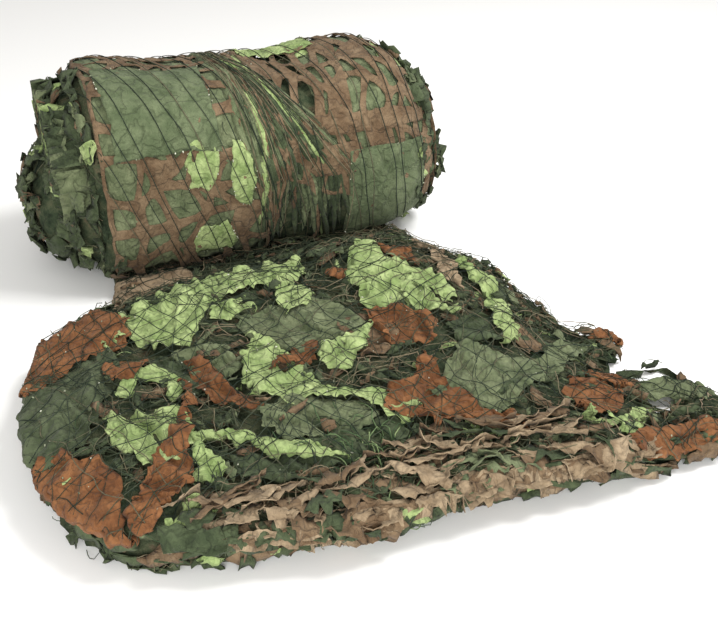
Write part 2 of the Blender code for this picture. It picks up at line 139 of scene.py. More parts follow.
def makeStudio():
    scene = bpy.context.scene
    camera = newObject("camera", bpy.data.cameras.new("camera"))
    camera.data.lens = studio["lens"]
    camera.location = Vector(studio["cameraFromMiddle"])
    azimuth, pitch = math.radians(studio["azimuth"]), math.radians(studio["pitch"])
    level = math.cos(pitch)
    back = Vector((math.sin(azimuth) * level, -math.cos(azimuth) * level, math.sin(pitch)))
    camera.rotation_euler = (-back).to_track_quat("-Z", "Y").to_euler()
    scene.camera = camera

    bm = bmesh.new()
    bmesh.ops.create_grid(bm, x_segments=1, y_segments=1, size=studio["floorSize"] / 2)
    mesh = bpy.data.meshes.new("floor")
    bm.to_mesh(mesh)
    bm.free()
    floor = newObject("floor", mesh)
    paper, _, shader = newMaterial("paleFloor", Roughness=studio["floorRoughness"])
    shader.inputs["Base Color"].default_value = studio["floorColour"]
    mesh.materials.append(paper)

    world = bpy.data.worlds.new("softStudio")
    world.use_nodes = True
    background = world.node_tree.nodes["Background"]
    background.inputs["Color"].default_value = studio["skyColour"]
    background.inputs["Strength"].default_value = studio["skyStrength"]
    scene.world = world
    for name in ("key", "fill"):
        lamp = bpy.data.lights.new(name, "AREA")
        lamp.energy = studio[name + "Power"]
        lamp.size = studio[name + "Size"]
        light = newObject(name, lamp)
        light.location = Vector(studio[name + "Place"])
        light.rotation_euler = (Vector((0, 0, 0.1)) - light.location).to_track_quat("-Z", "Y").to_euler()
    scene.view_settings.view_transform = "Standard"


# Short ways to make nodes, for the finishes.

def newGroup(name, inputs, outputs):
    group = bpy.data.node_groups.new(name, "ShaderNodeTree")
    for label, kind, value in inputs:
        group.interface.new_socket(name=label, in_out="INPUT", socket_type=kind).default_value = value
    for label, kind in outputs:
        group.interface.new_socket(name=label, in_out="OUTPUT", socket_type=kind)
    return group


def feed(tree, socket, value):
    # a socket takes a number, or another node's output
    if isinstance(value, bpy.types.NodeSocket):
        tree.links.new(value, socket)
    else:
        socket.default_value = value


def addNode(tree, kind, **values):
    # a node with its inputs by name; an underscore stands for a space
    node = tree.nodes.new("ShaderNode" + kind)
    for key, value in values.items():
        feed(tree, node.inputs[key.replace("_", " ")], value)
    return node


def addMath(tree, operation, *terms):
    node = tree.nodes.new("ShaderNodeMath")
    node.operation = operation
    for socket, term in zip(node.inputs, terms):
        feed(tree, socket, term)
    return node.outputs["Value"]


def addMix(tree, factor, first, second):
    node = tree.nodes.new("ShaderNodeMix")
    node.data_type = "RGBA"
    for label, value in (("Factor", factor), ("A", first), ("B", second)):
        feed(tree, node.inputs[label], value)
    return node.outputs["Result"]


def addRange(tree, value, **limits):
    return addNode(tree, "MapRange", Value=value, **limits).outputs["Result"]


def addRamp(tree, value, stops):
    node = addNode(tree, "ValToRGB", Fac=value)
    while len(node.color_ramp.elements) < len(stops):
        node.color_ramp.elements.new(0.5)
    for element, (at, colour) in zip(node.color_ramp.elements, stops):
        element.position = at
        element.color = (*colour, 1.0)
    return node.outputs["Color"]


def addBump(tree, shader, height, distance, strength=1.0):
    bump = addNode(tree, "Bump", Height=height, Distance=distance, Strength=strength)
    tree.links.new(bump.outputs["Normal"], shader.inputs["Normal"])


def newMaterial(name, **values):
    # a material, its tree, and its shader with the values given
    material = bpy.data.materials.new(name)
    material.use_nodes = True
    tree = material.node_tree
    shader = tree.nodes["Principled BSDF"]
    for key, value in values.items():
        shader.inputs[key.replace("_", " ")].default_value = value
    return material, tree, shader


def objectPlace(tree):
    return tree.nodes.new("ShaderNodeTexCoord").outputs["Object"]


# Washed cotton: how its creases, fading, soil and weave are sized, and how much shade is painted along its broad
# creases. Scales count noise cells to the metre.
cottonLook = {
    "creases": {"broad": (0.50, 0.35, 0.055), "fine": (1.6, 0.3, 0.045)},   # scale's share, distortion, width
    "fade": {"Scale": 26.0, "Detail": 4.0, "Roughness": 0.6}, "fadeFrom": 0.38, "fadeTo": 0.66,
    "soil": {"Scale": 70.0, "Detail": 5.0, "Roughness": 0.7}, "soilFrom": 0.52, "soilTo": 0.78,
    "paintedCreaseShade": 0.30, "roughest": 0.95, "smoothest": 0.78,
    "weave": {"Scale": 900.0, "Detail": 1.0},
    "foldHeight": 1.6, "broadHeight": -0.35, "fineHeight": 0.14, "weaveHeight": 0.12,
}


def makeCrumpleGroup():
    # colour and relief of washed cotton: soft fading, soil, sharp small creases with shade painted along the
    # broad ones, and a plain weave
    group = newGroup(
        "crumpledCloth",
        [
            ("Base", "NodeSocketColor", (0.3, 0.3, 0.3, 1.0)),
            ("Faded", "NodeSocketColor", (0.5, 0.5, 0.5, 1.0)),
            ("Shade", "NodeSocketColor", (0.1, 0.1, 0.1, 1.0)),
            ("Crease Scale", "NodeSocketFloat", 60.0),
            ("Soil", "NodeSocketFloat", 0.35),
        ],
        [("Color", "NodeSocketColor"), ("Roughness", "NodeSocketFloat"), ("Height", "NodeSocketFloat")],
    )
    look = cottonLook
    given = group.nodes.new("NodeGroupInput").outputs
    result = group.nodes.new("NodeGroupOutput").inputs
    place = objectPlace(group)

    def ridges(scaleFactor, distortion, width):
        # thin sharp lines where a noise crosses its middle value: the creases of cloth that was packed away
        size = addMath(group, "MULTIPLY", given["Crease Scale"], scaleFactor)
        field = addNode(group, "TexNoise", Vector=place, Scale=size, Detail=1.5, Roughness=0.45,
                        Distortion=distortion).outputs["Fac"]
        near = addMath(group, "ABSOLUTE", addMath(group, "SUBTRACT", field, 0.5))
        line = addNode(group, "MapRange", Value=near, From_Max=width, To_Min=1.0, To_Max=0.0)
        line.interpolation_type = "SMOOTHERSTEP"
        return field, line.outputs["Result"]

    broadField, broadLine = ridges(*look["creases"]["broad"])
    fineField, fineLine = ridges(*look["creases"]["fine"])
    fade = addNode(group, "TexNoise", Vector=place, **look["fade"]).outputs["Fac"]
    fadeMask = addRange(group, fade, From_Min=look["fadeFrom"], From_Max=look["fadeTo"])
    soil = addNode(group, "TexNoise", Vector=place, **look["soil"]).outputs["Fac"]
    soilMask = addRange(group, soil, From_Min=look["soilFrom"], From_Max=look["soilTo"])
    faded = addMix(group, fadeMask, given["Base"], given["Faded"])
    soiled = addMix(group, addMath(group, "MULTIPLY", soilMask, given["Soil"]), faded, given["Shade"])
    # painted shade: along the broad creases the colour darkens toward the Shade colour
    paintedCreaseShade = addMath(group, "MULTIPLY", broadLine, look["paintedCreaseShade"])
    feed(group, result["Color"], addMix(group, paintedCreaseShade, soiled, given["Shade"]))
    feed(group, result["Roughness"],
         addRange(group, fadeMask, To_Min=look["roughest"], To_Max=look["smoothest"]))

    weave = addNode(group, "TexNoise", Vector=place, **look["weave"]).outputs["Fac"]
    height = addMath(group, "MULTIPLY_ADD", broadField, look["foldHeight"], fineField)
    height = addMath(group, "MULTIPLY_ADD", broadLine, look["broadHeight"], height)
    height = addMath(group, "MULTIPLY_ADD", fineLine, look["fineHeight"], height)
    feed(group, result["Height"], addMath(group, "MULTIPLY_ADD", weave, look["weaveHeight"], height))
    return group


# For each tone: its base colour, where it has faded, and a dark colour for its soil and for the shade painted
# along its creases.
clothColours = {
    "light_green": ((0.200, 0.272, 0.096), (0.390, 0.470, 0.205), (0.040, 0.064, 0.020)),
    "mid_green": ((0.092, 0.114, 0.056), (0.172, 0.196, 0.104), (0.024, 0.034, 0.015)),
    "panel_green": ((0.078, 0.102, 0.050), (0.132, 0.160, 0.084), (0.022, 0.031, 0.013)),
    "deep_green": ((0.050, 0.066, 0.032), (0.094, 0.114, 0.060), (0.014, 0.020, 0.009)),
    "dark_green": ((0.038, 0.052, 0.025), (0.080, 0.102, 0.050), (0.011, 0.016, 0.008)),
    "rust": ((0.126, 0.050, 0.019), (0.238, 0.104, 0.040), (0.034, 0.016, 0.007)),
    "taupe": ((0.190, 0.134, 0.080), (0.350, 0.265, 0.168), (0.046, 0.033, 0.019)),
    "brown": ((0.116, 0.073, 0.040), (0.200, 0.138, 0.080), (0.032, 0.021, 0.012)),
}
creaseLook = {"scale": 64.0, "soil": 0.50, "bumpHeight": 0.0050, "bumpStrength": 0.9, "sheen": 0.05}
materials = {}


def makeClothMaterials():
    group = makeCrumpleGroup()
    for name, (base, faded, shade) in clothColours.items():
        material, tree, shader = newMaterial(name + "Cotton", Sheen_Weight=creaseLook["sheen"],
                                             Specular_IOR_Level=0.15)
        cloth = tree.nodes.new("ShaderNodeGroup")
        cloth.node_tree = group
        for label, value in (("Base", (*base, 1.0)), ("Faded", (*faded, 1.0)), ("Shade", (*shade, 1.0)),
                             ("Crease Scale", creaseLook["scale"]), ("Soil", creaseLook["soil"])):
            cloth.inputs[label].default_value = value
        addBump(tree, shader, cloth.outputs["Height"], creaseLook["bumpHeight"], creaseLook["bumpStrength"])
        feed(tree, shader.inputs["Base Color"], cloth.outputs["Color"])
        feed(tree, shader.inputs["Roughness"], cloth.outputs["Roughness"])
        materials[name] = material


# Each twine's colours, from its darkest strands to its palest.
twineTones = {
    "darkTwine": [(0.0, (0.010, 0.016, 0.011)), (0.55, (0.022, 0.034, 0.022)), (0.85, (0.050, 0.060, 0.036)),
                  (1.0, (0.110, 0.098, 0.060))],
    "tangleTwine": [(0.0, (0.014, 0.020, 0.012)), (0.40, (0.045, 0.058, 0.032)), (0.72, (0.105, 0.100, 0.056)),
                    (1.0, (0.230, 0.180, 0.115))],
    "greenTwine": [(0.0, (0.016, 0.030, 0.014)), (0.5, (0.045, 0.078, 0.034)), (0.8, (0.110, 0.165, 0.070)),
                   (1.0, (0.260, 0.330, 0.150))],
    "taupeTwine": [(0.0, (0.090, 0.060, 0.040)), (0.7, (0.230, 0.150, 0.100)), (1.0, (0.480, 0.380, 0.270))],
    "tiedKnots": [(0.0, (0.160, 0.180, 0.110)), (0.6, (0.380, 0.390, 0.280)), (1.0, (0.680, 0.680, 0.560))],
}
# The dark mass of bunched netting under everything: mottled dark greens, olive and brown.
nettingTones = [(0.30, (0.012, 0.018, 0.011)), (0.44, (0.038, 0.054, 0.029)), (0.55, (0.080, 0.090, 0.049)),
                (0.66, (0.120, 0.094, 0.058)), (0.78, (0.062, 0.104, 0.050))]


def makeTwineMaterials():
    for name, stops in twineTones.items():
        material, tree, shader = newMaterial(name, Roughness=0.8, Specular_IOR_Level=0.2)
        place = objectPlace(tree)
        tone = tree.nodes.new("ShaderNodeAttribute")
        tone.attribute_name = "tone"
        fibre = addNode(tree, "TexNoise", Vector=place, Scale=140.0, Detail=2.0).outputs["Fac"]
        blend = addMath(tree, "MULTIPLY_ADD", fibre, 0.5, tone.outputs["Fac"])
        blend = addMath(tree, "SUBTRACT", blend, 0.25)
        feed(tree, shader.inputs["Base Color"], addRamp(tree, blend, stops))
        twist = addNode(tree, "TexNoise", Vector=place, Scale=1200.0, Detail=1.0).outputs["Fac"]
        addBump(tree, shader, twist, 0.0004)
        materials[name] = material


def makeNettingMaterial():
    material, tree, shader = newMaterial("bunchedNetting", Roughness=0.9, Specular_IOR_Level=0.1)
    place = objectPlace(tree)
    patchy = addNode(tree, "TexNoise", Vector=place, Scale=22.0, Detail=6.0, Roughness=0.7).outputs["Fac"]
    feed(tree, shader.inputs["Base Color"], addRamp(tree, patchy, nettingTones))
    lumps = addNode(tree, "TexNoise", Vector=place, Scale=160.0, Detail=5.0, Roughness=0.7).outputs["Fac"]
    addBump(tree, shader, lumps, 0.006)
    materials["netting"] = material


# Making and finishing pieces.

def newPiece(name, mesh, finishName):
    piece = newObject(name, mesh)
    mesh.materials.clear()
    mesh.materials.append(materials[finishName])
    mesh.shade_smooth()
    return piece


def pieceFrom(bm, name, finishName):
    mesh = bpy.data.meshes.new(name)
    bm.to_mesh(mesh)
    bm.free()
    return newPiece(name, mesh, finishName)


def fray(v, amount, scale, seedX, seedY):
    # moves a point of a cloth's edge a little
    v.co.x += amount * grain(v.co.x * scale, v.co.y * scale, seedX)
    v.co.y += amount * grain(v.co.y * scale, v.co.x * scale, seedY)


def soften(bm):
    bmesh.ops.smooth_vert(bm, verts=bm.verts, factor=0.5, use_axis_x=True, use_axis_y=True, use_axis_z=True)


def settled(piece):
    # the piece's mesh as its modifiers leave it, with none of them left on it
    graph = bpy.context.evaluated_depsgraph_get()
    mesh = bpy.data.meshes.new_from_object(piece.evaluated_get(graph), depsgraph=graph)
    piece.modifiers.clear()
    old = piece.data
    piece.data = mesh
    bpy.data.meshes.remove(old)
    return piece


def addSolid(piece):
    solid = piece.modifiers.new("thickness", "SOLIDIFY")
    solid.thickness = clothFacts["thickness"]
    solid.offset = 0.0


def finer(piece, levels):
    smoother = piece.modifiers.new("finer", "SUBSURF")
    smoother.levels = levels
    smoother.render_levels = levels
    return settled(piece)


def copyOfNode(node, name, levels):
    # a finer copy of a CAD solid, as the start of a soft piece
    bm = bmesh.new()
    bm.from_mesh(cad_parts[node].data)
    bmesh.ops.remove_doubles(bm, verts=bm.verts, dist=0.00002)
    return finer(pieceFrom(bm, name, "netting"), levels)


def pointsOf(mesh, what="co"):
    values = np.zeros(len(mesh.vertices) * 3, np.float32)
    mesh.vertices.foreach_get(what, values)
    return values.reshape(-1, 3).astype(float)


def setPoints(mesh, points):
    mesh.vertices.foreach_set("co", points.astype(np.float32).ravel())
    mesh.update()


def ruffle(piece, strength, scale, seed, keepOver=0.0008):
    # bunches a skin: sharp-topped lumps along its normals, never through the floor
    mesh = piece.data
    points, normals = pointsOf(mesh), pointsOf(mesh, "normal")
    offset = np.array((seed * 7.1, seed * 3.3, seed * 5.7))
    lumps = np.zeros(len(points))
    for index, at in enumerate(points * scale + offset):
        lumps[index] = 1.0 - abs(noise.noise(at)) * 2.0 + 0.5 * (1.0 - abs(noise.noise(at * 2.3)) * 2.0)
    moved = points + normals * (strength * (lumps - 0.4))[:, None]
    floorHere = np.where(points[:, 2] > keepOver, keepOver, points[:, 2])
    moved[:, 2] = np.maximum(moved[:, 2], floorHere)
    setPoints(mesh, moved)


makeStudio()
makeClothMaterials()
makeTwineMaterials()
makeNettingMaterial()
report("studio and finishes")

# The two dark masses that carry the garnish.

# Each gap: x from, x to, y from, y to, only under this height, and the share of a noise that stays shut.
tailLook = {"from": 0.23, "over": 0.13, "drop": 0.58, "gapScale": 26.0,
            "gaps": ((0.355, 0.50, -0.54, -0.34, 0.022, -0.13), (0.385, 0.515, -0.53, -0.45, 0.060, -0.45))}


def lowerTail(mesh):
    # the narrow end of the loose netting lies flatter than the rest
    points = pointsOf(mesh)
    far = np.clip((points[:, 0] - tailLook["from"]) / tailLook["over"], 0, 1) * (points[:, 1] < -0.15)
    points[:, 2] *= 1 - tailLook["drop"] * far
    setPoints(mesh, points)


def openTail(piece):
    # gaps through the thin netting of the narrow end
    bm = bmesh.new()
    bm.from_mesh(piece.data)
    gone = set()
    for xFrom, xTo, yFrom, yTo, under, shut in tailLook["gaps"]:
        for face in bm.faces:
            x, y, z = face.calc_center_median()
            if xFrom < x < xTo and yFrom < y < yTo and z < under:
                if noise.noise(Vector((x, y, 0)) * tailLook["gapScale"]) > shut:
                    gone.add(face)
    bmesh.ops.delete(bm, geom=[face for face in bm.faces if face in gone], context="FACES")
    bm.to_mesh(piece.data)
    bm.free()


massLook = {"levels": 1, "heapStrength": 0.006, "heapScale": 34.0, "rollStrength": 0.004, "rollScale": 30.0}
heapMass = copyOfNode("net_loose_end", "heap_netting", massLook["levels"])
lowerTail(heapMass.data)
heapSmoothTree = treeOf([heapMass])
ruffle(heapMass, massLook["heapStrength"], massLook["heapScale"], 1)
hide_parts("net_loose_end")
rollMass = copyOfNode("net_roll", "roll_netting", massLook["levels"])
ruffle(rollMass, massLook["rollStrength"], massLook["rollScale"], 2)
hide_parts("net_roll")
heapTree = treeOf([heapMass])
openTail(heapMass)
rollTree = treeOf([rollMass])
report("bunched netting")

# Cloths laid on the loose end.
# Each outline is in millimetres from its CAD cloth's middle: x along the roll, y away from the viewer's side.
# A cloth that names no tone, growth or size has the ones in clothFacts.

laidCloths = {
    "rust_back_left": {"tone": "rust", "calm": 1.25, "grow": 0.10, "outline": [
        (-85, -5), (-35, 48), (30, 55), (72, 5), (62, -34), (-15, -70), (-78, -118)]},
    "green_left": {"tone": "deep_green", "grow": 0.16, "outline": [
        (-55, 70), (5, 108), (60, 112), (66, 40), (26, -10), (10, -72), (-40, -98), (-75, -60), (-74, -5)]},
    "rust_left_small": {"tone": "rust", "grow": 0.08, "size": 1.5, "outline": [
        (-36, 4), (4, 12), (24, -22), (-4, -44), (-32, -58)]},
    "light_left": {"grow": 0.22, "outline": [
        (-56, -20), (-20, -30), (40, -44), (36, -88), (12, -140), (-30, -136), (-58, -86), (-66, -50)]},
    "rust_front_left": {"tone": "rust", "calm": 1.35, "grow": 0.20, "size": 1.24,
                        "shift": (-0.004, -0.002), "outline": [
        (-50, 78), (-10, 82), (38, 40), (48, -10), (40, -52), (44, -84), (5, -95), (-30, -60), (-42, -10)]},
    "rust_front_point": {"tone": "rust", "calm": 1.7, "grow": 0.14, "size": 1.10, "outline": [
        (66, 214), (78, 170), (58, 96), (44, 36), (40, -10), (10, -44), (-40, -74), (-66, -30), (-52, 14),
        (-10, 44), (22, 78), (46, 124), (54, 160)]},
    "light_long": {"grow": 0.16, "outline": [
        (-140, -50), (-96, -16), (-34, 4), (30, 30), (110, 48), (188, 64), (184, 10), (130, -36), (76, -26),
        (20, -44), (2, -72), (-30, -126), (-66, -118), (-100, -70), (-146, -96)]},
    "light_back": {"grow": 0.2, "outline": [
        (-24, -6), (12, 6), (28, -36), (10, -78), (-28, -94), (-30, -50)]},
    "green_mid": {"tone": "mid_green", "grow": 0.14, "outline": [
        (-85, 20), (-24, 36), (28, 38), (74, 8), (84, -30), (56, -88), (14, -94), (-28, -70), (-60, -38)]},
    "green_mid_left": {"tone": "mid_green", "grow": 0.12, "outline": [
        (-40, 4), (8, 18), (44, -10), (48, -54), (32, -100), (-2, -84), (-30, -44)]},
    "light_mottled": {"outline": [
        (-40, 28), (-2, 74), (28, 16), (38, -4), (20, -36), (-4, -56), (-40, -62), (-56, -20)]},
    "light_mid": {"size": 1.5, "outline": [
        (-40, 14), (0, 14), (42, 52), (24, -6), (-14, -38), (-38, -16)]},
    "rust_strip": {"tone": "rust", "grow": 0.12, "outline": [
        (-20, 102), (6, 88), (22, 34), (30, -6), (48, -64), (6, -32), (-10, 2), (-22, 36)]},
    "light_low": {"grow": 0.2, "size": 1.42, "outline": [
        (-150, 36), (-112, 64), (-72, 66), (-56, 10), (-6, -6), (54, 10), (20, -46), (8, -74), (-18, -62),
        (-34, -34), (-74, -6), (-110, -4)]},
    "green_low": {"tone": "mid_green", "grow": 0.14, "outline": [
        (-64, 42), (-6, 24), (60, 4), (74, -22), (60, -56), (2, -52), (-44, -44), (-68, -10)]},
    "light_strip": {"grow": 0.22, "size": 1.75, "outline": [
        (-54, 16), (-32, 22), (16, -24), (68, -54), (86, -84), (30, -52), (-22, -16)]},
    "light_crumple_back": {"grow": 0.26, "outline": [
        (-16, 4), (18, 42), (30, 18), (26, -34), (52, -64), (76, -78), (92, -118), (70, -174), (56, -122),
        (22, -100), (-22, -98), (-48, -68), (-40, -44)]},
    "light_crumple_left": {"grow": 0.24, "outline": [
        (-35, 18), (8, 4), (30, -10), (22, -58), (-8, -48), (-32, -52), (-46, -18)]},
    "light_crumple_right": {"grow": 0.2, "outline": [
        (-58, 10), (-38, 12), (-22, -30), (-12, -78), (2, -92), (-26, -108), (-38, -76), (-62, -66), (-66, -20)]},
    "rust_mid_right": {"tone": "rust", "grow": 0.18, "outline": [
        (-38, 62), (16, 58), (44, 22), (60, -2), (36, -36), (-20, -28), (-56, -22), (-58, 16)]},
    "rust_low_right": {"tone": "rust", "calm": 1.4, "grow": 0.2, "outline": [
        (10, 98), (26, 72), (10, 30), (26, -36), (74, -56), (62, -104), (40, -68), (-44, -56), (-88, -10),
        (-70, 32), (-34, 46)]},
    "green_right": {"tone": "mid_green", "grow": 0.14, "outline": [
        (-84, 28), (-58, 40), (-36, 30), (-20, -8), (36, -8), (66, 22), (108, 50), (170, 58), (196, 36),
        (126, 12), (58, -28), (22, -62), (-18, -66), (-36, -80), (-72, -100), (-110, -70), (-148, -30),
        (-122, -30)]},
    "rust_right": {"tone": "rust", "grow": 0.16, "outline": [
        (-70, 10), (-54, 6), (0, 4), (6, -34), (-36, -70), (-70, -82), (-100, -96), (-102, -58), (-94, -26)]},
    "light_right": {"size": 1.42, "outline": [
        (-128, -36), (-96, -22), (-52, -6), (-8, -4), (12, 16), (36, 14), (18, -10), (-44, -26), (-98, -40)]},
    "green_right_end": {"tone": "mid_green", "grow": 0.0, "calm": 0.7, "size": 1.5,
                        "shift": (-0.008, 0.044), "outline": [
        (-80, 24), (-40, 12), (8, 4), (40, -16), (60, -60), (34, -78), (0, -50), (-34, -28)]},
    "rust_right_tip": {"tone": "rust", "grow": 0.14, "size": 1.6, "outline": [
        (-16, 32), (10, 36), (40, 10), (38, -24), (20, -28), (10, 0), (-12, 16)]},
    "rust_front_right": {"tone": "rust", "size": 1.45, "shift": (0.0, -0.008), "outline": [
        (-110, -14), (-80, -20), (-40, -24), (20, -22), (80, -18), (110, 4), (50, 12), (-10, 14), (-60, 12),
        (-100, 6)]},
    "taupe_under_roll": {"tone": "taupe", "grow": 0.1, "outline": [
        (-60, 60), (70, 70), (80, -40), (0, -80), (-70, -80)]},
    "taupe_right_side": {"tone": "taupe", "size": 1.4, "outline": [
        (-16, 72), (10, 66), (18, 10), (6, -60), (-14, -100), (-38, -110), (-30, -50), (-14, 10)]},
    "light_strip_right": {"outline": [
        (-34, 110), (-10, 110), (10, 50), (0, -20), (-22, -70), (-44, -130), (-80, -130), (-56, -60), (-36, 0)]},
    "green_standing": {"tone": "mid_green", "grow": 0.1, "calm": 0.5, "size": 1.25,
                       "shift": (-0.014, -0.004), "outline": [
        (-10, 44), (12, 36), (20, 0), (4, -40), (-20, -44), (-24, -12)]},
    # cloths too small for a CAD part of their own lie beside one that has one
    "light_ring": {"beside": "light_left", "grow": 0.2, "size": 1.1, "outline": [
        (-40, 28), (-20, 78), (30, 92), (62, 46), (58, -14), (34, -14), (32, 34), (16, 58), (-6, 50), (-12, 24)]},
    "light_under_long": {"beside": "light_long", "size": 1.15, "outline": [
        (20, -50), (113, -62), (100, -108), (12, -98)]},
    "rust_bits_up": {"tone": "rust", "beside": "light_mottled", "grow": 0.2, "size": 1.25, "outline": [
        (49, 26), (76, 9), (65, -22), (38, -36), (-2, -50), (-24, -60), (8, -16)]},
    "light_curl_low": {"beside": "light_strip", "size": 1.2, "outline": [
        (-79, -24), (-62, -17), (-51, -41), (-32, -68), (-46, -92), (-71, -88), (-87, -76), (-85, -48)]},
    "light_twist_low": {"beside": "light_strip", "size": 1.2, "outline": [
        (-115, -118), (-94, -85), (-83, -130), (-97, -157), (-108, -185), (-132, -130)]},
    "rust_small_left": {"tone": "rust", "beside": "light_crumple_left", "grow": 0.2, "size": 1.2, "outline": [
        (-63, 136), (-26, 84), (-36, 52), (-70, 104)]},
    "rust_small_top": {"tone": "rust", "beside": "light_crumple_back", "grow": 0.2, "size": 1.45, "outline": [
        (24, 14), (80, 8), (72, -48), (40, -20)]},
    "rust_right_up": {"tone": "rust", "beside": "rust_right", "grow": 0.2, "size": 1.5, "outline": [
        (-29, 35), (39, 22), (42, -26), (-16, -12)]},
    "light_right_low": {"beside": "light_right", "size": 1.1, "outline": [
        (-100, -44), (-49, -28), (-9, -30), (26, -30), (66, -2), (24, -56), (-14, -64), (-56, -50)]},
    "light_front_mid": {"beside": "rust_low_right", "size": 1.15, "outline": [
        (0, -60), (35, -62), (55, -98), (66, -130), (46, -120), (18, -110), (-12, -106), (-36, -99)]},
    "brown_right_side": {"tone": "brown", "beside": "taupe_right_side", "size": 1.1, "outline": [
        (36, -200), (48, -316), (1, -327), (-8, -260)]},
    "green_by_roll": {"tone": "dark_green", "beside": "light_back", "grow": 0.25, "size": 1.0, "outline": [
        (-140, 70), (30, 46), (70, 110), (20, 170), (-128, 170)]},
    "green_gap_left": {"tone": "dark_green", "beside": "rust_left_small", "size": 1.0, "outline": [
        (20, 30), (80, 24), (120, -20), (100, -90), (50, -130), (26, -60)]},
    "brown_gap_middle": {"tone": "brown", "beside": "light_mid", "size": 1.0, "outline": [
        (10, 110), (90, 90), (110, 30), (60, -40), (10, -50), (0, 20)]},
    "green_gap_low": {"tone": "dark_green", "beside": "green_low", "size": 1.0, "outline": [
        (-150, -30), (-60, -50), (60, -50), (110, -20), (120, -90), (40, -120), (-100, -120), (-160, -90)]},
    "green_gap_right": {"tone": "dark_green", "beside": "light_crumple_right", "size": 1.0, "outline": [
        (-40, -120), (30, -80), (100, -120), (90, -190), (10, -200), (-50, -180)]},
}
clothFacts = {
    "cell": 0.0064, "thickness": 0.0011, "knotSpacing": 0.055, "clear": 0.004, "frames": 24,
    "gravity": 0.6, "edgeNoise": 0.007, "tone": "light_green", "grow": 0.3, "size": 1.32, "moreGrowth": 1.9,
}
laidCloths = {name: {key: clothFacts[key] for key in ("tone", "grow", "size")} | cloth
              for name, cloth in laidCloths.items()}
layOrder = {"dark_green": 0, "brown": 1, "mid_green": 2, "deep_green": 2, "taupe": 2, "light_green": 3,
            "rust": 4}
clothSettings = {
    "quality": 6, "mass": 0.12, "tension_stiffness": 14.0, "compression_stiffness": 14.0,
    "shear_stiffness": 7.0, "bending_stiffness": 0.3, "tension_damping": 8.0, "compression_damping": 8.0,
    "shear_damping": 8.0, "bending_damping": 0.6, "air_damping": 4.0, "vertex_group_mass": "knots",
    "vertex_group_shrink": "grow", "shrink_min": 0.0,
}
clothTouch = {"distance_min": 0.0025, "collision_quality": 3, "use_self_collision": True,
              "self_distance_min": 0.0022}


def walkOver(tree, start, heading, distance):
    # follows a surface for a distance, as a cloth laid over it does: over an edge, down, and out on the floor
    near, normal, _, _ = tree.find_nearest(start)
    place = near.copy()
    travel = (heading - normal * heading.dot(normal)).normalized()
    left = distance
    while left > 0.0001:
        stride = min(0.006, left)
        left -= stride
        ahead = place + travel * stride
        if ahead.z < 0.004 and travel.z < 0.3 and place.z < 0.012:
            flat = Vector((normal.x, normal.y, 0.0)) if normal.z < 0.7 else Vector((travel.x, travel.y, 0.0))
            travel = flat.normalized() if flat.length > 0.01 else travel
            return Vector((ahead.x, ahead.y, 0.003)) + travel * left, Vector((0, 0, 1))
        near, normal, _, _ = tree.find_nearest(ahead)
        place = near.copy()
        turned = travel - normal * travel.dot(normal)
        if turned.length > 0.05:
            travel = turned.normalized()
    return place, normal


def clothMiddle(name):
    # the middle of a cloth's place, from the CAD cloth that it is or lies beside
    cloth = laidCloths[name]
    low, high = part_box("cloth_" + cloth.get("beside", name))
    return (low + high) / 2 + Vector((*cloth.get("shift", (0, 0)), 0))


def cutCloth(outline, cell, turn):
    # a flat cloth cut to an outline and divided into square cells, laid at an angle to it
    bm = bmesh.new()
    uvs = bm.loops.layers.uv.new("cut")
    bm.faces.new([bm.verts.new((x, y, 0.0)) for x, y in outline])
    reach = max(math.hypot(x, y) for x, y in outline)
    for direction in (turn, turn + math.pi / 2):
        normal = Vector((math.cos(direction), math.sin(direction), 0.0))
        count = int(reach / cell) + 1
        for line in range(-count, count + 1):
            everything = bm.verts[:] + bm.edges[:] + bm.faces[:]
            bmesh.ops.bisect_plane(bm, geom=everything, dist=0.00005, plane_co=normal * cell * line,
                                   plane_no=normal)
    bmesh.ops.remove_doubles(bm, verts=bm.verts, dist=cell * 0.30)
    bmesh.ops.dissolve_degenerate(bm, edges=bm.edges, dist=0.0002)
    for face in bm.faces:
        if face.normal.z < 0:
            face.normal_flip()
        for loop in face.loops:
            loop[uvs].uv = loop.vert.co.xy
    return bm


def isInside(outline, x, y):
    inside = False
    for (xa, ya), (xb, yb) in zip(outline, outline[1:] + outline[:1]):
        if (ya > y) != (yb > y) and x < xa + (xb - xa) * (y - ya) / (yb - ya):
            inside = not inside
    return inside


def middleOf(outline):
    return sum(x for x, y in outline) / len(outline), sum(y for x, y in outline) / len(outline)


def sizedOutline(cloth):
    # the outline enlarged about its own middle
    outline = [(x / 1000, y / 1000) for x, y in cloth["outline"]]
    cx, cy = middleOf(outline)
    return [(cx + (x - cx) * cloth["size"], cy + (y - cy) * cloth["size"]) for x, y in outline]


def polygonArea(outline):
    following = outline[1:] + outline[:1]
    return abs(sum(xa * yb - xb * ya for (xa, ya), (xb, yb) in zip(outline, following))) / 2


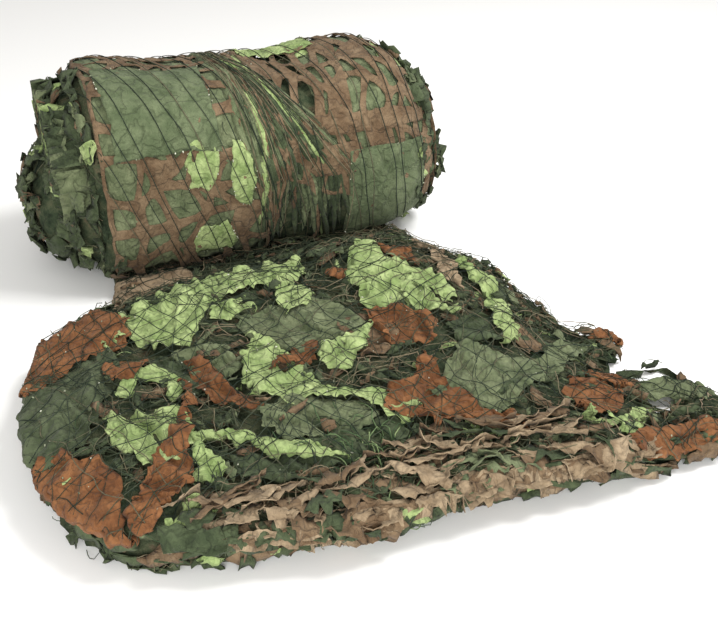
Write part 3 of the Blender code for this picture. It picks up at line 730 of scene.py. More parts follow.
def makeLaidCloths():
    # cuts every cloth and lays it on the heap, each one over those laid before it
    rng = random.Random(11)
    smooth = heapSmoothTree
    earlier, faces = [], []
    parts = []
    names = sorted(laidCloths, key=lambda name: layOrder[laidCloths[name]["tone"]])
    for number, name in enumerate(names):
        cloth = laidCloths[name]
        middle = clothMiddle(name)
        outline = sizedOutline(cloth)
        cx, cy = middleOf(outline)
        bm = cutCloth([(x - cx, y - cy) for x, y in outline], clothFacts["cell"], rng.uniform(0, math.pi / 2))
        ground = heightAt(smooth, middle.x + cx, middle.y + cy) or 0.03
        start = Vector((middle.x + cx, middle.y + cy, ground))
        layers = BVHTree.FromPolygons(earlier, faces) if faces else None
        flatOf = {}
        normals = {}
        for v in bm.verts:
            if v.is_boundary:
                wobble = grain(v.co.x * 110, v.co.y * 110, number * 3.1)
                other = grain(v.co.y * 110, v.co.x * 110, number * 1.3)
                v.co.x += clothFacts["edgeNoise"] * wobble
                v.co.y += clothFacts["edgeNoise"] * other
            flatOf[v] = v.co.copy()
            heading = Vector((v.co.x, v.co.y, 0.0))
            place, normal = walkOver(smooth, start, heading, heading.length)
            lump = grain(place.x * 38, place.y * 38, number * 1.7)
            v.co = place + normal * (clothFacts["clear"] + 0.004 * (1 + lump))
            normals[v] = normal
        for _ in range(2):
            soften(bm)
            for v in bm.verts:
                near, normal, _, distance = heapTree.find_nearest(v.co)
                side = (v.co - near).dot(normal)
                if side < clothFacts["clear"] and distance < 0.03:
                    v.co = near + normal * clothFacts["clear"]
                if layers is not None:
                    hit = layers.ray_cast(v.co + normals[v] * 0.03, -normals[v], 0.034)[0]
                    if hit is not None:
                        v.co = hit + normals[v] * 0.0035
                v.co.z = max(v.co.z, 0.002)
        first = len(earlier)
        bm.verts.index_update()
        earlier += [v.co.copy() for v in bm.verts]
        faces += [[first + v.index for v in face.verts] for face in bm.faces]
        parts.append((name, cloth, bm, [flatOf[v] for v in bm.verts]))
    return parts


def knotsIn(outline, rng, spacing):
    # where the net is tied through a cloth: a loose diamond grid
    reach = max(math.hypot(x, y) for x, y in outline)
    count = int(reach / spacing) + 2
    turn = rng.uniform(0, math.pi / 2)
    knots = []
    for i in range(-count, count + 1):
        for j in range(-count, count + 1):
            across, along = (i + 0.5 * (j % 2)) * spacing, j * spacing * 0.6
            x = across * math.cos(turn) - along * math.sin(turn) + rng.uniform(-1, 1) * spacing * 0.12
            y = across * math.sin(turn) + along * math.cos(turn) + rng.uniform(-1, 1) * spacing * 0.12
            if isInside(outline, x, y):
                knots.append((x, y))
    return knots


def joinCloths(name, parts):
    # all the cloths as one mesh, with the points that the net holds and how much each cloth grows
    rng = random.Random(23)
    joined = bpy.data.meshes.new(name)
    total = bmesh.new()
    total.loops.layers.uv.new("cut")
    counts, pins, growth = [], [], []
    for _, cloth, bm, flats in parts:
        before = len(total.verts)
        temp = bpy.data.meshes.new("temp")
        bm.to_mesh(temp)
        bm.free()
        total.from_mesh(temp)
        bpy.data.meshes.remove(temp)
        counts.append(len(total.verts) - before)
        outline = sizedOutline(cloth)
        cx, cy = middleOf(outline)
        places = np.array([(flat.x, flat.y) for flat in flats])
        for kx, ky in knotsIn([(x - cx, y - cy) for x, y in outline], rng, clothFacts["knotSpacing"]):
            best = int(np.argmin((places[:, 0] - kx) ** 2 + (places[:, 1] - ky) ** 2))
            pins.append(before + best)
        growth += [cloth["grow"] * clothFacts["moreGrowth"]] * counts[-1]
    total.to_mesh(joined)
    total.free()
    piece = newObject(name, joined)
    pinGroup = piece.vertex_groups.new(name="knots")
    for index in pins:
        pinGroup.add([index], 1.0, "REPLACE")
    growGroup = piece.vertex_groups.new(name="grow")
    most = max(growth)
    for index, amount in enumerate(growth):
        growGroup.add([index], amount / most, "REPLACE")
    return piece, counts, most


def settleCloths(piece, most, under):
    # lets the joined cloths grow and settle over the piece under them
    cloth = piece.modifiers.new("settle", "CLOTH")
    for key, value in {**clothSettings, "shrink_max": -most}.items():
        setattr(cloth.settings, key, value)
    cloth.settings.effector_weights.gravity = clothFacts["gravity"]
    for key, value in clothTouch.items():
        setattr(cloth.collision_settings, key, value)
    cloth.point_cache.frame_start = 1
    cloth.point_cache.frame_end = clothFacts["frames"]
    touch = under.modifiers.new("touch", "COLLISION")
    under.collision.thickness_outer = 0.002
    scene = bpy.context.scene
    for step in range(1, clothFacts["frames"] + 1):
        scene.frame_set(step)
    settled(piece)
    under.modifiers.remove(touch)
    scene.frame_set(1)


def splitCloths(joinedPiece, parts, counts):
    # gives each cloth its own object again
    made = []
    start = 0
    for (name, cloth, _, _), count in zip(parts, counts):
        bm = bmesh.new()
        bm.from_mesh(joinedPiece.data)
        bm.verts.ensure_lookup_table()
        others = [v for v in bm.verts if not start <= v.index < start + count]
        bmesh.ops.delete(bm, geom=others, context="VERTS")
        piece = pieceFrom(bm, "laid_" + name, cloth["tone"])
        if "beside" not in cloth:
            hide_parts("cloth_" + name)
        made.append(piece)
        start += count
    bpy.data.objects.remove(joinedPiece)
    return made


laidParts = makeLaidCloths()
report("cloths cut")
joinedCloths, laidCounts, mostGrowth = joinCloths("laid_cloths", laidParts)
settleCloths(joinedCloths, mostGrowth, heapMass)
report("cloths settled: " + str(sum(laidCounts)) + " points")
laidPieces = splitCloths(joinedCloths, laidParts, laidCounts)
report("cloths apart")

pleatLook = {
    "light_green": {"deep": 0.0105, "across": 40, "along": 11, "fine": 0.0023},
    "mid_green": {"deep": 0.0080, "across": 32, "along": 12, "fine": 0.0020},
    "deep_green": {"deep": 0.0080, "across": 36, "along": 12, "fine": 0.0022},
    "dark_green": {"deep": 0.0070, "across": 38, "along": 14, "fine": 0.0020},
    "rust": {"deep": 0.0078, "across": 30, "along": 11, "fine": 0.0020},
    "taupe": {"deep": 0.0070, "across": 42, "along": 14, "fine": 0.0018},
    "brown": {"deep": 0.0070, "across": 42, "along": 14, "fine": 0.0018},
}


smallLook = {"bend": 0.012, "scale": 105}


def crumple(piece, look, turn, seed):
    # sharp-crested pleats that run one way, and small creases over them, along the cloth's normals
    points, normals = pointsOf(piece.data), pointsOf(piece.data, "normal")
    c, d = math.cos(turn), math.sin(turn)
    rise = np.zeros(len(points))
    for index, (x, y, z) in enumerate(points.tolist()):
        bend = smallLook["bend"] * grain(x * 14, y * 14, seed)
        u, w = x * c + y * d + bend, y * c - x * d + bend
        pleat = ridged(u * look["across"], w * look["along"], z * 30 + seed * 3.1)
        small = ridged(u * smallLook["scale"], w * smallLook["scale"], seed * 1.7)
        rise[index] = look["deep"] * pleat + look["fine"] * small
    moved = points + normals * rise[:, None]
    moved[:, 2] = np.maximum(moved[:, 2], floorClear)
    setPoints(piece.data, moved)


crumpleRandom = random.Random(77)
for piece in laidPieces:
    finer(piece, 1)
    cloth = laidCloths[piece.name[len("laid_"):]]
    look = dict(pleatLook[cloth["tone"]])
    look["deep"] *= min(1.0, math.sqrt(polygonArea(sizedOutline(cloth)) / 0.011)) * cloth.get("calm", 1.0)
    crumple(piece, look, crumpleRandom.uniform(0, math.pi), crumpleRandom.uniform(0, 99))
    addSolid(piece)

# Leaves of cloth: scraps and layered strips.

def leafShape(rng, long, wide, cells, rows, jag):
    # the flat grid of one torn leaf: rows of places across it, narrowing unevenly to both ends
    lean = rng.uniform(-0.25, 0.25)
    blunt = rng.uniform(2.0, 5.0)
    seedHere = rng.uniform(0, 500)
    places = []
    for i in range(cells + 1):
        along = i / cells - 0.5
        half = wide / 2 * max(0.10, 1.0 - abs(2 * along) ** blunt)
        ragged = grain(along * 5.0, seedHere, 0.0)
        centre = wide * 0.5 * (lean * along * 2 + 0.6 * ragged)
        teeth = abs((along * long * 24 + seedHere) % 1.0 - 0.5) * 2
        half *= 1.0 - jag * teeth
        for j in range(rows + 1):
            across = 2.0 * j / rows - 1.0
            edge = grain(along * 9.0, across * 0.7, seedHere + 9.0)
            places.append((along * long, centre + across * half * (1.0 + 0.5 * edge), along, across))
    return places


def layLeaf(tree, place, normal, heading, rng, look, lift):
    # one leaf on a surface: it follows the surface, buckles along its length and curls at its edges
    long = rng.uniform(*look["long"])
    wide = rng.uniform(*look["wide"])
    cells, rows = look["cells"], look["rows"]
    along = (heading - normal * heading.dot(normal)).normalized()
    across = normal.cross(along)
    seedHere = rng.uniform(0, 900)
    fold = rng.uniform(-1, 1) * look["fold"]
    curl = rng.uniform(-0.3, 1.0) * look["curl"]
    points = []
    for u, w, share, side in leafShape(rng, long, wide, cells, rows, look.get("jag", 0.0)):
        at = place + along * u + across * w
        outward = Vector((normal.x, normal.y, 0.0))
        if at.z < 0.005 and outward.length > 0.1:
            at += outward.normalized() * (0.005 - at.z)
        at.z = max(at.z, 0.005)
        near, here, _, distance = tree.find_nearest(at)
        here = here.lerp(normal, look.get("even", 0.0)).normalized()
        if at.z < 0.0055 and (near.z < 0.006 or distance > 0.012):
            near, here = Vector((at.x, at.y, 0.0)), up
        elif distance > 0.03:
            near = near + (at - near) * (1 - 0.03 / distance)
        waves = w * look.get("waveAcross", 22)
        buckle = 0.8 - 2.2 * abs(grain(u * look["wave"], waves, seedHere))
        ripple = 0.6 - 1.6 * abs(grain(u * look["wave"] * 3, w * 60, seedHere + 30))
        rise = lift + fold * (1 - abs(side)) + curl * side * side * (0.6 + 0.8 * abs(share))
        rise += look.get("flare", 0.0) * (0.5 - 0.5 * side) * (0.6 + grain(u * 18, seedHere, 1))
        rise += look["buckle"] * buckle + look["buckle"] * 0.45 * ripple
        point = near + here * max(rise, 0.0012)
        point.z = max(point.z, floorClear)
        points.append(point)
    return points


def joinLeaves(name, leaves, cells, rows, finishName):
    # many leaves as one mesh; returns the piece and the area of its cloth
    count = (cells + 1) * (rows + 1)
    points = np.array([tuple(p) for leaf in leaves for p in leaf], np.float32)
    block = []
    for i in range(cells):
        for j in range(rows):
            block.append((i * (rows + 1) + j, i * (rows + 1) + j + 1, (i + 1) * (rows + 1) + j + 1,
                          (i + 1) * (rows + 1) + j))
    block = np.array(block)
    faces = (block[None, :, :] + (np.arange(len(leaves)) * count)[:, None, None]).reshape(-1, 4)
    mesh = bpy.data.meshes.new(name)
    mesh.from_pydata(points, [], faces.tolist())
    piece = newPiece(name, mesh, finishName)
    corners = points[faces]
    first = np.cross(corners[:, 1] - corners[:, 0], corners[:, 2] - corners[:, 0])
    second = np.cross(corners[:, 2] - corners[:, 0], corners[:, 3] - corners[:, 0])
    area = float((np.linalg.norm(first, axis=1) + np.linalg.norm(second, axis=1)).sum() / 2)
    addSolid(piece)
    return piece, area


def isCovered(at, normal, share=0.93):
    # whether a laid cloth lies over this place; a few places count as open all the same
    if abs(noise.cell(at * 900)) > share:
        return False
    return laidTree.ray_cast(at + normal * 0.06, -normal, 0.065)[0] is not None


def openHere(at, normal):
    return normal.z > -0.3 and not isCovered(at, normal)


def surfacePoints(mesh, count, rng, keep):
    # random places spread evenly over a mesh, with the surface's direction there
    areas = np.zeros(len(mesh.polygons), np.float32)
    mesh.polygons.foreach_get("area", areas)
    total = np.cumsum(areas)
    places = []
    while len(places) < count:
        index = int(np.searchsorted(total, rng.random() * total[-1]))
        polygon = mesh.polygons[min(index, len(mesh.polygons) - 1)]
        if keep(polygon.center, polygon.normal):
            places.append((polygon.center.copy(), polygon.normal.copy()))
    return places


scrapLook = {"cells": 5, "rows": 2, "fold": 0.008, "curl": 0.008, "buckle": 0.007, "wave": 60}
footLook = {"atFoot": True, "cells": 7, "rows": 2, "fold": 0.006, "curl": 0.006, "buckle": 0.005, "wave": 40}
leafLooks = {
    "scraps_dark": {**scrapLook, "tone": "dark_green", "count": 800, "long": (0.018, 0.060),
                    "wide": (0.008, 0.024), "lift": (0.001, 0.008)},
    "scraps_tiny": {**scrapLook, "tone": "mid_green", "count": 300, "long": (0.010, 0.028),
                    "wide": (0.003, 0.009), "cells": 4, "rows": 1, "fold": 0.005, "curl": 0.006,
                    "buckle": 0.005, "wave": 70, "lift": (0.003, 0.010)},
    "scraps_mid": {**scrapLook, "tone": "mid_green", "count": 150, "long": (0.018, 0.052),
                   "wide": (0.007, 0.020), "fold": 0.007, "buckle": 0.006, "lift": (0.001, 0.007)},
    "scraps_brown": {**scrapLook, "tone": "brown", "count": 360, "long": (0.018, 0.060), "wide": (0.007, 0.022),
                     "lift": (0.001, 0.007)},
    "scraps_light": {**scrapLook, "tone": "light_green", "count": 110, "long": (0.014, 0.040),
                     "wide": (0.005, 0.014), "fold": 0.006, "curl": 0.007, "buckle": 0.005, "wave": 70,
                     "lift": (0.001, 0.006)},
    "foot_dark": {**footLook, "tone": "dark_green", "count": 80, "long": (0.040, 0.100), "wide": (0.014, 0.030),
                  "lift": (0.002, 0.006)},
    "foot_brown": {**footLook, "tone": "brown", "count": 70, "long": (0.040, 0.100), "wide": (0.012, 0.026),
                   "lift": (0.003, 0.009)},
    "foot_deep": {**footLook, "tone": "deep_green", "count": 50, "long": (0.040, 0.090), "wide": (0.012, 0.026),
                  "lift": (0.003, 0.008)},
}


def atFoot(at, normal):
    # low on the loose end's outer side
    return 0.004 < at.z < 0.045 and normal.z < 0.55 and normal.xy.length > 0.3


def makeScraps():
    made = []
    for number, (name, look) in enumerate(leafLooks.items()):
        rng = random.Random(90 + number)
        spots = surfacePoints(heapMass.data, look["count"], rng, atFoot if "atFoot" in look else openHere)
        leaves = []
        for place, normal in spots:
            turn = rng.uniform(0, math.tau)
            heading = Vector((math.cos(turn), math.sin(turn) * 0.7, rng.uniform(-0.2, 0.2)))
            if "atFoot" in look:
                heading = normal.cross(up) + Vector((0, 0, rng.uniform(-0.25, 0.25)))
            leaves.append(layLeaf(heapTree, place, normal, heading, rng, look, rng.uniform(*look["lift"])))
        piece, area = joinLeaves(name, leaves, look["cells"], look["rows"], look["tone"])
        made.append((piece, area, ["heap_netting"]))
    return made


# The two bands along the front edge: cloths laid in pleats that overlap like shingles, with slits between.
bandLooks = {
    "front_band_right": {"node": "cloth_taupe_front_right",
                         "tones": (("taupe", 0.70), ("brown", 0.88), ("mid_green", 1.0)),
                         "past": (0.00, -0.022), "back": 0.092, "down": 0.190, "pleat": 0.021, "rise": 0.009,
                         "slits": 0.04, "bare": 0.0, "seed": 3},
    "front_band_left": {"node": "cloth_taupe_front_left",
                        "tones": (("taupe", 0.72), ("brown", 0.93), ("light_green", 1.0)),
                        "past": (0.13, 0.030), "back": 0.066, "down": 0.190, "pleat": 0.020, "rise": 0.008,
                        "slits": 0.04, "bare": 0.13, "seed": 8},
}


bandSteps = (0.0054, 0.0040)    # along the band and down it
bandRelief = {"base": 0.004, "least": 0.15, "crest": 0.86, "small": 0.0034, "fine": 0.0011, "overlap": 0.55,
              "ragged": 0.010, "frayed": 0.016}
bandGrids = {}


def edgeY(tree, x, fromY):
    # where the heap ends toward the viewer's side, at one place along it
    y = fromY
    while heightAt(tree, x, y) is not None and y > heapLow.y - 0.05:
        y -= 0.001
    return y


def walkDown(tree, start, heading, step, count):
    # stations at equal distances along a surface, then out on the floor
    near, normal, _, _ = tree.find_nearest(start)
    place = near.copy()
    travel = (heading - normal * heading.dot(normal)).normalized()
    stations = [(place.copy(), normal.copy())]
    onFloor = False
    for _ in range(count):
        if not onFloor:
            ahead = place + travel * step
            if ahead.z < 0.004:
                onFloor = True
                travel = Vector((heading.x, heading.y, 0.0)).normalized()
                place, normal = Vector((ahead.x, ahead.y, 0.003)), (normal + up).normalized()
            else:
                near, normal, _, _ = tree.find_nearest(ahead)
                place = near.copy()
                turned = travel - normal * travel.dot(normal)
                travel = turned.normalized() if turned.length > 0.05 else travel
        else:
            place = place + travel * step
            normal = up.copy()
        stations.append((place.copy(), normal.copy()))
    return stations


def bandSurface(look):
    # places and directions down over the heap's front edge, evened out, at steps along the band and down it
    low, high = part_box(look["node"])
    first, last = low.x - look["past"][0], high.x + look["past"][1]
    columns = int((last - first) / bandSteps[0])
    rows = int((look["back"] + look["down"]) / bandSteps[1])
    place = np.zeros((columns + 1, rows + 1, 3))
    normal = np.zeros((columns + 1, rows + 1, 3))
    along = [first + (last - first) * i / columns for i in range(columns + 1)]
    edges = [edgeY(heapSmoothTree, x, low.y + 0.02) for x in along]
    edges = np.convolve(np.pad(edges, 12, mode="edge"), np.ones(25) / 25, mode="valid")
    for i, x in enumerate(along):
        edge = edges[i] + 0.004
        backHere = look["back"] + 0.014 * grain(x * 11, look["seed"], 0)
        ground = heightAt(heapSmoothTree, x, edge + backHere) or 0.08
        start = Vector((x, edge + backHere, ground))
        stations = walkDown(heapSmoothTree, start, Vector((0, -1, 0)), bandSteps[1], rows)
        for j, (at, facing) in enumerate(stations):
            place[i, j], normal[i, j] = at, facing
    for _ in range(10):
        for field in (place, normal):
            sides = field[:-2, 1:-1] + field[2:, 1:-1] + field[1:-1, :-2] + field[1:-1, 2:]
            field[1:-1, 1:-1] = sides / 4
    normal /= np.maximum(np.linalg.norm(normal, axis=2, keepdims=True), 0.001)
    return along, place, normal


def bandPleats(look, along, rows):
    # how far the pleats stand out and hang down, which cells hold cloth, and what shares out the tones
    relief, seed = bandRelief, look["seed"]
    columns, total = len(along) - 1, look["back"] + look["down"]
    tall = np.zeros((columns + 1, rows + 1))
    fold = np.zeros((columns + 1, rows + 1))
    keep = np.ones((columns, rows), bool)
    tone = np.zeros((columns, rows))
    for i, x in enumerate(along):
        for j in range(rows + 1):
            t = j * bandSteps[1]
            phase = t / look["pleat"] + 1.1 * grain(x * 4.5, t * 6.0, seed)
            phase += 0.34 * grain(x * 17, t * 16, seed + 4)
            pleat = math.floor(phase)
            part = phase - pleat
            size = 0.75 + 0.9 * grain(x * 13, pleat * 3.7, seed + 8)
            profile = part ** 1.4 if part < relief["crest"] else (1.0 - part) / 0.14 * 0.81
            small = ridged(x * 24, t * 60, seed + pleat * 2.3)
            fine = ridged(x * 70, t * 150, seed + pleat)
            height = look["rise"] * max(size, relief["least"]) * profile
            tall[i, j] = relief["base"] + height + relief["small"] * small + relief["fine"] * fine
            fold[i, j] = look["rise"] * relief["overlap"] * max(size, relief["least"]) * profile
            if i < columns and j < rows:
                keep[i, j] = grain(x * 13, t * 75, seed + 21) < look["slits"]
                tone[i, j] = 0.5 + 0.9 * grain(x * 5.5, pleat * 5.1, seed + 33)
                ragged = relief["ragged"] * (1 + grain(x * 35, seed, 2))
                frayed = relief["frayed"] * (1 + grain(t * 40, seed, 5))
                if t < ragged or t > total - 0.012 - 2.2 * ragged:
                    keep[i, j] = False
                if min(x - along[0] - look["bare"], along[-1] - x) < frayed:
                    keep[i, j] = False
    return tall, fold, keep, tone


def makeFrontBands():
    made = []
    for name, look in bandLooks.items():
        along, place, normal = bandSurface(look)
        bandGrids[name] = (place, normal)
        tall, fold, keep, tone = bandPleats(look, along, place.shape[1] - 1)
        downward = np.gradient(place, axis=1)
        downward /= np.maximum(np.linalg.norm(downward, axis=2, keepdims=True), 0.00001)
        points = place + normal * tall[:, :, None] + downward * fold[:, :, None]
        points[:, :, 2] = np.maximum(points[:, :, 2], 0.002)
        tone[~keep] = 99.0
        ranked = np.argsort(np.argsort(tone, axis=None)).reshape(tone.shape) / max(keep.sum(), 1)
        lowest = 0.0
        for finishName, limit in look["tones"]:
            chosen = keep & (ranked >= lowest) & (ranked <= limit)
            lowest = limit
            bm = bmesh.new()
            corner = {}
            for i, j in zip(*np.nonzero(chosen)):
                face = []
                for a, b in ((i, j), (i, j + 1), (i + 1, j + 1), (i + 1, j)):
                    if (a, b) not in corner:
                        corner[(a, b)] = bm.verts.new(points[a, b])
                    face.append(corner[(a, b)])
                bm.faces.new(face)
            area = sum(face.calc_area() for face in bm.faces)
            piece = pieceFrom(bm, name + "_" + finishName, finishName)
            if finishName == "taupe":
                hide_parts(look["node"])
            addSolid(piece)
            made.append((piece, area, ["heap_netting"]))
    return made


# Folded strips in layers over the bands.

stripLook = {"cells": 14, "rows": 3, "even": 0.65, "fold": 0.008, "curl": 0.006, "flare": 0.019,
             "buckle": 0.0040, "wave": 12, "waveAcross": 60, "jag": 0.34, "lift": (0.003, 0.017),
             "long": (0.045, 0.110)}
# Each patch: tone, share along the band, share down it, reach along, reach down.
stripLooks = {
    "front_band_right": {**stripLook, "layers": 13, "apart": 0.035, "bare": (0.0, 0.0), "wide": (0.016, 0.038),
                         "tilt": 0.34, "seed": 171, "patches": (("mid_green", 0.42, 0.34, 0.13, 0.12),
                                                                ("dark_green", 0.20, 0.62, 0.10, 0.10))},
    "front_band_left": {**stripLook, "layers": 12, "apart": 0.037, "bare": (0.30, 0.40), "wide": (0.015, 0.036),
                        "tilt": 0.50, "seed": 172, "patches": (("light_green", 0.76, 0.62, 0.08, 0.13),
                                                               ("dark_green", 0.36, 0.4, 0.05, 0.3))},
}
stripTones = (("taupe", 0.54), ("brown", 0.84), ("dark_green", 1.0))


def makeBandStrips():
    made = []
    for name, look in stripLooks.items():
        place, normal = bandGrids[name]
        rng = random.Random(look["seed"])
        groups = {}
        columns, rows = place.shape[0] - 1, place.shape[1] - 1
        across = np.linalg.norm(place[0, 0] - place[-1, 0])
        for layer in range(look["layers"] - 1, -1, -1):
            along = rng.uniform(0.0, look["apart"])
            while along < across:
                i = min(int(along / across * columns), columns)
                j = (layer + 0.5 + rng.uniform(-0.4, 0.4)) / look["layers"] * rows
                j = min(max(int(j), 0), rows)
                at, facing = Vector(place[i, j]), Vector(normal[i, j])
                heading = Vector(place[min(i + 6, columns), j]) - Vector(place[max(i - 6, 0), j])
                heading = heading.normalized() + Vector((0, rng.gauss(0, look["tilt"]), rng.gauss(0, 0.1)))
                pick = rng.random()
                tone = next(tone for tone, limit in stripTones if pick <= limit)
                if i / columns < look["bare"][0]:
                    tone = rng.choice(("brown", "brown", "dark_green", "deep_green", "taupe"))
                for patch, aside, below, reachAlong, reachDown in look["patches"]:
                    if abs(i / columns - aside) < reachAlong and abs(j / rows - below) < reachDown:
                        tone = patch
                lift = rng.uniform(*look["lift"])
                along += look["apart"] * rng.uniform(0.7, 1.3)
                if i / columns < look["bare"][0] and j / rows < look["bare"][1]:
                    continue
                groups.setdefault(tone, []).append(layLeaf(heapTree, at, facing, heading, rng, look, lift))
        for tone, leaves in groups.items():
            stripName = name.replace("front_band", "strips") + "_" + tone
            piece, area = joinLeaves(stripName, leaves, look["cells"], look["rows"], tone)
            made.append((piece, area, ["heap_netting"]))
    return made


# Twine.

def spaced(paths, tones):
    # leaves out places that fall on the one before, and strands too short to see
    kept, keptTones = [], []
    for path, tone in zip(paths, tones):
        path = np.array(path)
        gaps = np.linalg.norm(np.diff(path, axis=0), axis=1)
        path = path[np.concatenate([[True], gaps > 0.0004])]
        if len(path) > 3:
            kept.append(path)
            keptTones.append(tone)
    return kept, keptTones


def addTwine(name, strands, radius, finishName):
    # paths and their tones as one mesh: poly curves given a round section, with one tone for each strand
    paths, tones = spaced(*strands)
    curve = bpy.data.curves.new(name, "CURVE")
    curve.dimensions = "3D"
    curve.bevel_depth = radius
    curve.bevel_resolution = 0
    curve.use_fill_caps = True
    for path in paths:
        spline = curve.splines.new("POLY")
        spline.points.add(len(path) - 1)
        flat = np.ones((len(path), 4), np.float32)
        flat[:, :3] = path
        spline.points.foreach_set("co", flat.ravel())
    holder = newObject(name + "_line", curve)
    graph = bpy.context.evaluated_depsgraph_get()
    mesh = bpy.data.meshes.new_from_object(holder.evaluated_get(graph), depsgraph=graph)
    bpy.data.objects.remove(holder)
    # four points round each place, and four for the cap at either end
    shares = [4 * len(path) + 8 for path in paths]
    attribute = mesh.attributes.new("tone", "FLOAT", "POINT")
    attribute.data.foreach_set("value", np.repeat(np.array(tones), shares).astype(np.float32))
    return newPiece(name, mesh, finishName)


def tautOver(heights, rounds):
    # a strand laid over a rough surface: it touches the tops and bridges the dips between them
    line = heights.copy()
    for _ in range(rounds):
        line[1:-1] = np.maximum(heights[1:-1], (line[:-2] + line[2:]) / 2)
    return line


def bentGrid(seed, strength, fine):
    # a smooth shift of places, which makes a straight net lie slack and uneven
    def shift(x, y):
        a = grain(x * 6, y * 6, seed * 5.3)
        b = grain(x * 6, y * 6, seed * 5.3 + 40)
        c = grain(x * 24, y * 24, seed * 2.9)
        d = grain(x * 24, y * 24, seed * 2.9 + 40)
        return x + strength * a + fine * c, y + strength * b + fine * d
    return shift


def heapNet(tree, look, seed):
    # the strands of one diamond-mesh layer over the loose end
    rng = random.Random(seed)
    shift = bentGrid(seed, look["slack"], look["fine"])
    middle = (heapLow + heapHigh) / 2
    reach = (heapHigh - heapLow).xy.length / 2
    paths, tones = [], []
    count = int(reach / look["mesh"])
    steps = int(2 * reach / look["step"])
    for lean in look["leans"]:
        direction = Vector((math.cos(math.radians(lean)), math.sin(math.radians(lean))))
        side = Vector((-direction.y, direction.x))
        for line in range(-count, count + 1):
            across = (line + rng.uniform(-0.1, 0.1)) * look["mesh"]
            runs, tone = [[]], rng.random()
            for step in range(steps + 1):
                along = -reach + step * look["step"]
                flat = Vector((middle.x, middle.y)) + direction * along + side * across
                x, y = shift(flat.x, flat.y)
                ground = heightAt(tree, x, y)
                hidden = look["under"] and ground is not None and isCovered(Vector((x, y, ground)), up)
                if ground is None or hidden or rng.random() < look["breaks"]:
                    runs.append([])
                else:
                    runs[-1].append((x, y, ground))
            runs = [np.array(run) for run in runs if len(run) > 3]
            paths += runs
            tones += [tone] * len(runs)
    for run in paths:
        line = tautOver(run[:, 2] + look["lift"], look["taut"])
        wave = np.array([grain(x * 60, y * 60, seed) for x, y, _ in run])
        run[:, 2] = line + look["float"] * (0.5 + 0.5 * wave)
    return paths, tones


def wander(tree, place, heading, length, look, rng):
    # a short strand that keeps to a surface, turning as it goes, and stands off it in the middle
    near, normal, _, _ = tree.find_nearest(place)
    travel = (heading - normal * heading.dot(normal)).normalized()
    bend = rng.uniform(-1, 1) * look["bend"]
    steps = max(4, int(length / look["step"]))
    loft = rng.uniform(0, look["float"])
    waves = rng.uniform(1, 3)
    points = []
    for step in range(steps):
        rise = look["lift"] + loft * math.sin(math.pi * waves * step / steps) ** 2
        point = near + normal * rise
        points.append((point.x, point.y, max(point.z, 0.0012)))
        bend = bend * 0.93 + rng.uniform(-1, 1) * look["bend"] * 0.5
        travel = Matrix.Rotation(bend, 3, normal) @ travel
        near, normal, _, _ = tree.find_nearest(near + travel * look["step"])
        if normal.z < -0.5 or (look.get("under") and isCovered(near, normal, 0.8)):
            break
        travel = (travel - normal * travel.dot(normal)).normalized()
    return np.array(points)


def curls(tree, mesh, look, seed, keep):
    # loose ends, loops and tangles spread over a mesh
    rng = random.Random(seed)
    made, tones = [], []
    for place, _ in surfacePoints(mesh, look["count"], rng, keep):
        heading = Vector((rng.uniform(-1, 1), rng.uniform(-1, 1), rng.uniform(-0.5, 0.5)))
        path = wander(tree, place, heading, rng.uniform(*look["length"]), look, rng)
        if len(path) > 3:
            made.append(path)
            tones.append(rng.random())
    return made, tones


# The roll's garnish.

rollCadTree = treeOf([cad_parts["net_roll"]])
coreRadius = 0.1    # stands in where the roll has no surface, past its ends


def arcOf(node):
    # where a CAD cloth lies on the roll: its first and last x, and its first and last angle
    low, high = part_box(node)
    angles = []
    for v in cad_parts[node].data.vertices:
        angle = math.degrees(math.atan2(v.co.z - rollMiddle.z, -(v.co.y - rollMiddle.y)))
        angles.append(angle + 360 if angle < -100 else angle)
    return low.x, high.x, min(angles), max(angles)


def arcPast(node, past):
    # the same for a cloth that goes past the CAD one by this much on each side
    xFirst, xLast, first, last = arcOf(node)
    return xFirst - past[0], xLast + past[1], first + past[2], last + past[3]


def meanRadius(x, angle):
    # the wound net's radius without its small lumps
    radii = [radiusAt(rollCadTree, x + aside, angle) for aside in (-0.012, 0.0, 0.012)]
    radii = [radius for radius in radii if radius is not None]
    return sum(radii) / len(radii) if radii else None


wrinkle = {"foldX": 42, "foldRound": 30, "fineX": 130, "fineRound": 110}


def wrap(bm, xFirst, angleFirst, lift, crinkle, seed):
    # wraps a flat layout (x along the roll, y round it in metres) on the roll
    for v in bm.verts:
        u, w = v.co.x, v.co.y
        x, angle = xFirst + u, math.radians(angleFirst) + w / rollRadius
        base = meanRadius(x, angle) or coreRadius
        fold = ridged(u * wrinkle["foldX"], w * wrinkle["foldRound"], seed * 3.7, 2.0)
        fine = grain(u * wrinkle["fineX"], w * wrinkle["fineRound"], seed * 1.9)
        v.co = rollPoint(x, angle, base + lift + crinkle * (0.5 * fold + 0.35 * fine + 0.5))


